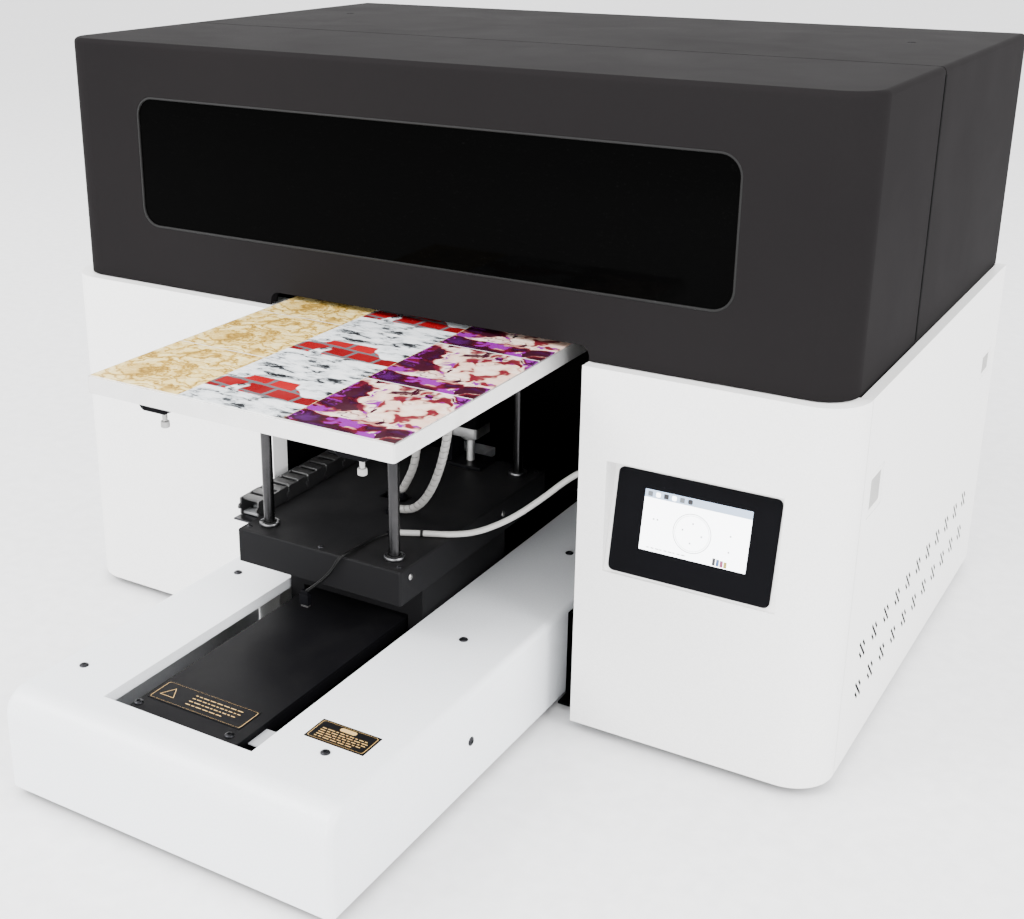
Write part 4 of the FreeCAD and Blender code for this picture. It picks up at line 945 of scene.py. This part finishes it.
def build_level_pads():
    """Moulded pads under the bed that hold the levelling screws, with softened ends."""
    shape = Shape("level_pads", MOULDED_BLACK)
    outline = [(-26, 0), (-25.4, -7), (-24, -13), (-22, -16), (-19, -18), (7, -18), (10, -16.4), (12.2, -13),
               (13, -11), (13, 0)]
    middle = Vector((-6.5, -4))
    for x, y in LEVEL_SPOTS:
        place = at(x, y, BED_BASE) @ Matrix.Rotation(math.pi / 2, 4, "X")
        rings = []
        for depth, inset in ((-9, 1.0), (-8, 0), (8, 0), (9, 1.0)):
            ring = []
            for point in outline:
                toward = (middle - Vector(point)).normalized() * inset
                edge = Vector(point) + (toward if point[1] < 0 else Vector((toward.x, 0)))
                ring.append(place @ Vector((*edge, depth)))
            rings.append(ring)
        shape.loop_surface(rings)
    shape.finish("table", replaces=["level_brackets"])


def build_rod_collars():
    """Clamps with a screw each, which hold the rods under the bed."""
    shape = Shape("rod_clamps", STEEL_TURNED, STEEL_BLACK)
    profile = [(6.05, -8.6), (11.4, -8.6), (12, -8), (12.02, -3), (12.02, 0)]
    for x, y in ROD_SPOTS:
        shape.paint = 0
        shape.lathe(profile, at(x, y, BED_BASE), 48)
        shape.paint = 1
        button_screw(shape, facing((0, -1, 0), x, y - 11.7, BED_BASE - 4), 2.2, 1.2)
    shape.finish("table")


# ---------- chain, cables, hoses


def chain_line():
    """The chain's centre line, from its fixed end under the carriage to its moving end."""
    low, high, turn, spacing = 124.0, 205.0, 51, 5
    middle, bend = (low + high) / 2, (high - low) / 2
    angles = [math.pi * i / 34 for i in range(1, 34)]
    lower = [(-124 + i * spacing, low) for i in range(35)]
    arc = [(turn + bend * math.sin(angle), middle - bend * math.cos(angle)) for angle in angles]
    upper = [(turn - i * spacing, high) for i in range(52)]
    return [Vector((y, z)) for y, z in lower + arc + upper]


def along_line(line, distance):
    """Point and direction at a distance along a flat line."""
    for a, b in zip(line, line[1:]):
        step = (b - a).length
        if distance <= step:
            return a.lerp(b, distance / step), (b - a).normalized()
        distance -= step
    return line[-1], (line[-1] - line[-2]).normalized()


def chain_link(shape, centre, direction, pitch, number):
    """One link: two waisted side plates with their pins, and a bar on each face."""
    across = Vector((1, 0, 0))
    ahead = Vector((0, direction.x, direction.y))
    turn = Matrix((ahead, ahead.cross(across), across)).transposed().to_4x4()
    place = at(CHAIN_X, centre.x, centre.y) @ turn
    half, tall, gauge, wide = pitch / 2, 9.9, 2.4, 13.9
    outline = [(-half - 2.2, -tall + 3), (-half, -tall), (half - 1.2, -tall), (half - 0.4, -tall + 1),
               (half - 0.4, -3), (half + 2.6, -2), (half + 2.6, 2), (half - 0.4, 3), (half - 0.4, tall - 1),
               (half - 1.2, tall), (-half, tall), (-half - 2.2, tall - 3)]
    wide -= 0.0 if number % 2 else 0.7
    for side in (-1, 1):
        shape.paint = 0
        lift = side * wide + (0 if side > 0 else gauge)
        shape.slab(outline, -gauge, 0, place @ at(0, 0, lift), 0.35)
        flip = Matrix.Rotation(0 if side > 0 else math.pi, 4, "X")
        pin = place @ at(half, 0, side * (wide + 0.05)) @ flip
        shape.lathe([(3.4, -0.6), (3.4, 0.0), (2.9, 0.05), (2.7, -0.2), (0.01, -0.2)], pin, 20)
    for face in (-1, 1):
        shape.paint = 1 if face < 0 else 0
        shape.slab(rounded(pitch - 5.2, 3.0, 0.9, 3), -11.4, 11.4, place @ at(-0.6, face * (tall - 1.6), 0))


def build_drag_chain():
    """The drag chain, link by link; it bends between the frame and the carriage."""
    line = chain_line()
    total = sum((b - a).length for a, b in zip(line, line[1:]))
    count = 31
    pitch = total / count
    shape = Shape("chain_links", LINK_BLACK, LINK_GREY)
    for number in range(count):
        point, direction = along_line(line, pitch * (number + 0.5))
        chain_link(shape, point, direction, pitch * 0.98, number)
    piece = shape.finish(None, 35, replaces=["drag_chain"])
    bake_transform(piece)


def build_chain_bracket():
    """The plate under the chain's upper end, with its two screws."""
    shape = Shape("chain_bracket", STEEL_BLACK, NICKEL)
    top = 194.4
    shape.slab(corners(CHAIN_X - 14, CHAIN_X + 14, -214, -176), top - 2, top, edge=0.3)
    shape.paint = 1
    for x in (CHAIN_X - 6, CHAIN_X + 6):
        button_screw(shape, at(x, -186, top - 0.2), 2.4, 1.4)
    shape.finish("carriage")


def build_signal_cable():
    """Grey cable from the carriage to the gland in the right pod, with a tie near its end."""
    line = route([(212, -84, 283), (201, -84, 283), (182, -88, 269), (159, -98, 246), (131, -113, 222),
                  (100, -131, 206), (74, -146, 203.55), (49, -157, 203.55), (26, -169, 203.55)], 12)
    shape = Shape("signal_line", CABLE_GREY, WIRE_BLACK)
    tube(shape, line, 3.2)
    shape.paint = 1
    tie = int(0.93 * (len(line) - 1))
    tube(shape, line[tie - 1:tie + 1], 3.75)
    piece = shape.finish(None, 50, replaces=["signal_cable"])
    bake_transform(piece)


def build_sensor_wire():
    """Two thin black leads from the grey cable's sleeve down to a plug at the carriage's front."""
    shape = Shape("sensor_leads", WIRE_BLACK, MOULDED_BLACK, NICKEL)
    base = route([(24, -170, 203.55), (13, -175, 201.75), (8, -202, 201.75), (9, -226, 202.55),
                  (6, -247, 203.55), (-3, -249, 186), (-19, -248, 168), (-38, -247.5, 151.5)], 12)
    for shift in (Vector((-1.1, 0, 0)), Vector((1.1, -0.2, 0.3))):
        tube(shape, [point + shift for point in base], 1.1, 12)
    shape.paint = 1
    sleeve = route([(29, -167.6, 203.55), (25, -169.6, 203.4), (19, -172.6, 202.6), (15, -174, 202)], 6)
    tube(shape, sleeve, 2.6, 16)
    place = at(-40.5, -247.3, 136)
    shape.slab(rounded(11, 7, 0.8), 0, 12, place, 0.6)
    shape.slab(rounded(8.6, 5, 0.8), 12, 16, place, 0.6)
    shape.paint = 2
    shape.slab(rounded(9, 5.4, 0.4), -2.6, 0, place)
    shape.finish("carriage", replaces=["sensor_wire"])


def build_hoses():
    """Two hoses in spiral wrap, from the fittings on the carriage up to the bed."""
    right = [(-12, -122, 206), (10, -125, 208), (32, -131, 224), (52, -140, 252), (70, -152, 288),
             (86, -168, 325), (100, -184, 362), (106, -190, 400.9)]
    left = [(-27, -83, 206), (-14, -87, 226), (0, -94, 252), (6, -98, 286), (2, -98, 320), (-6, -96, 360),
            (-10, -95, 400.9)]
    shape = Shape("wrapped_hoses", WIRE_GREY, WRAP_GREY)
    for points in (right, left):
        line = route(points, 14)
        shape.paint = 0
        tube(shape, line, 3.3)
        shape.paint = 1
        wrap(shape, line, 3.4, 4.45, 9.5)
    piece = shape.finish(None, 50, replaces=["table_hoses"])
    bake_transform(piece)
    ends = Shape("hose_fittings", MOULDED_BLACK)
    profile = [(1, -0.1), (8, -0.1), (8, 3), (7, 3.6), (6, 3.8), (5.4, 7), (4.5, 7.3)]
    for points in (right, left):
        ends.lathe(profile, at(points[0][0], points[0][1], BOX_TOP), 36)
    ends.finish("carriage")


# ---------- light and camera


def build_studio():
    """A pale floor, a pale world and broad soft lamps."""
    floor = Shape("floor", coated("studio_floor", (0.86, 0.86, 0.87), (0.84, 0.84, 0.85), 0.55, 60, 0.02, 0))
    half = 14000
    floor.slab(corners(-half, half, -half, half), -20, 0)
    floor.finish()
    world = bpy.data.worlds.new("studio")
    bpy.context.scene.world = world
    world.use_nodes = True
    sky = world.node_tree.nodes["Background"]
    sky.inputs["Color"].default_value = (1.0, 1.0, 1.0, 1)
    sky.inputs["Strength"].default_value = 2.5
    for name, spot, aim, wide, high, power in (
            ("key", (-2.2, -2.3, 3.2), (0, 0, 0.3), 2.6, 2.0, 290),
            ("side", (3.4, -0.4, 1.8), (0.3, 0, 0.4), 2.0, 2.4, 170),
            ("top", (0.2, 0.8, 3.4), (0, 0.1, 0.4), 2.8, 2.2, 40),
            ("front", (0.1, -2.9, 0.9), (0, -0.1, 0.45), 2.0, 0.8, 58)):
        lamp = bpy.data.lights.new(name, "AREA")
        lamp.shape, lamp.size, lamp.size_y, lamp.energy = "RECTANGLE", wide, high, power
        holder = add(name, lamp)
        holder.location = spot
        holder.rotation_euler = (Vector(aim) - Vector(spot)).to_track_quat("-Z", "Y").to_euler()


def build_camera():
    lens = bpy.data.cameras.new("photo_view")
    lens.lens, lens.sensor_width = 50.48, 36.0
    lens.shift_x, lens.shift_y = 0.07086, -0.05245
    camera = add("photo_view", lens)
    camera.location = (0.78788, -1.32966, 0.84614)
    camera.rotation_euler = (math.pi / 2 - 0.34562, 0.0003, 0.54935)
    bpy.context.scene.camera = camera


dress_nodes()
build_window_gasket()
build_cover_screws()
build_feet()
build_latches()
build_cover_seams()
build_hood_seal()
build_hood_lip()
build_panel()
build_screen()
build_plate_label()
build_slot_tab()
build_carriage_details()
build_bushes()
build_stepper()
build_level_screws()
build_level_pads()
build_vent_shades()
build_plate_folds()
build_rod_collars()
build_drag_chain()
build_chain_bracket()
build_signal_cable()
build_sensor_wire()
build_hoses()
build_studio()
build_camera()
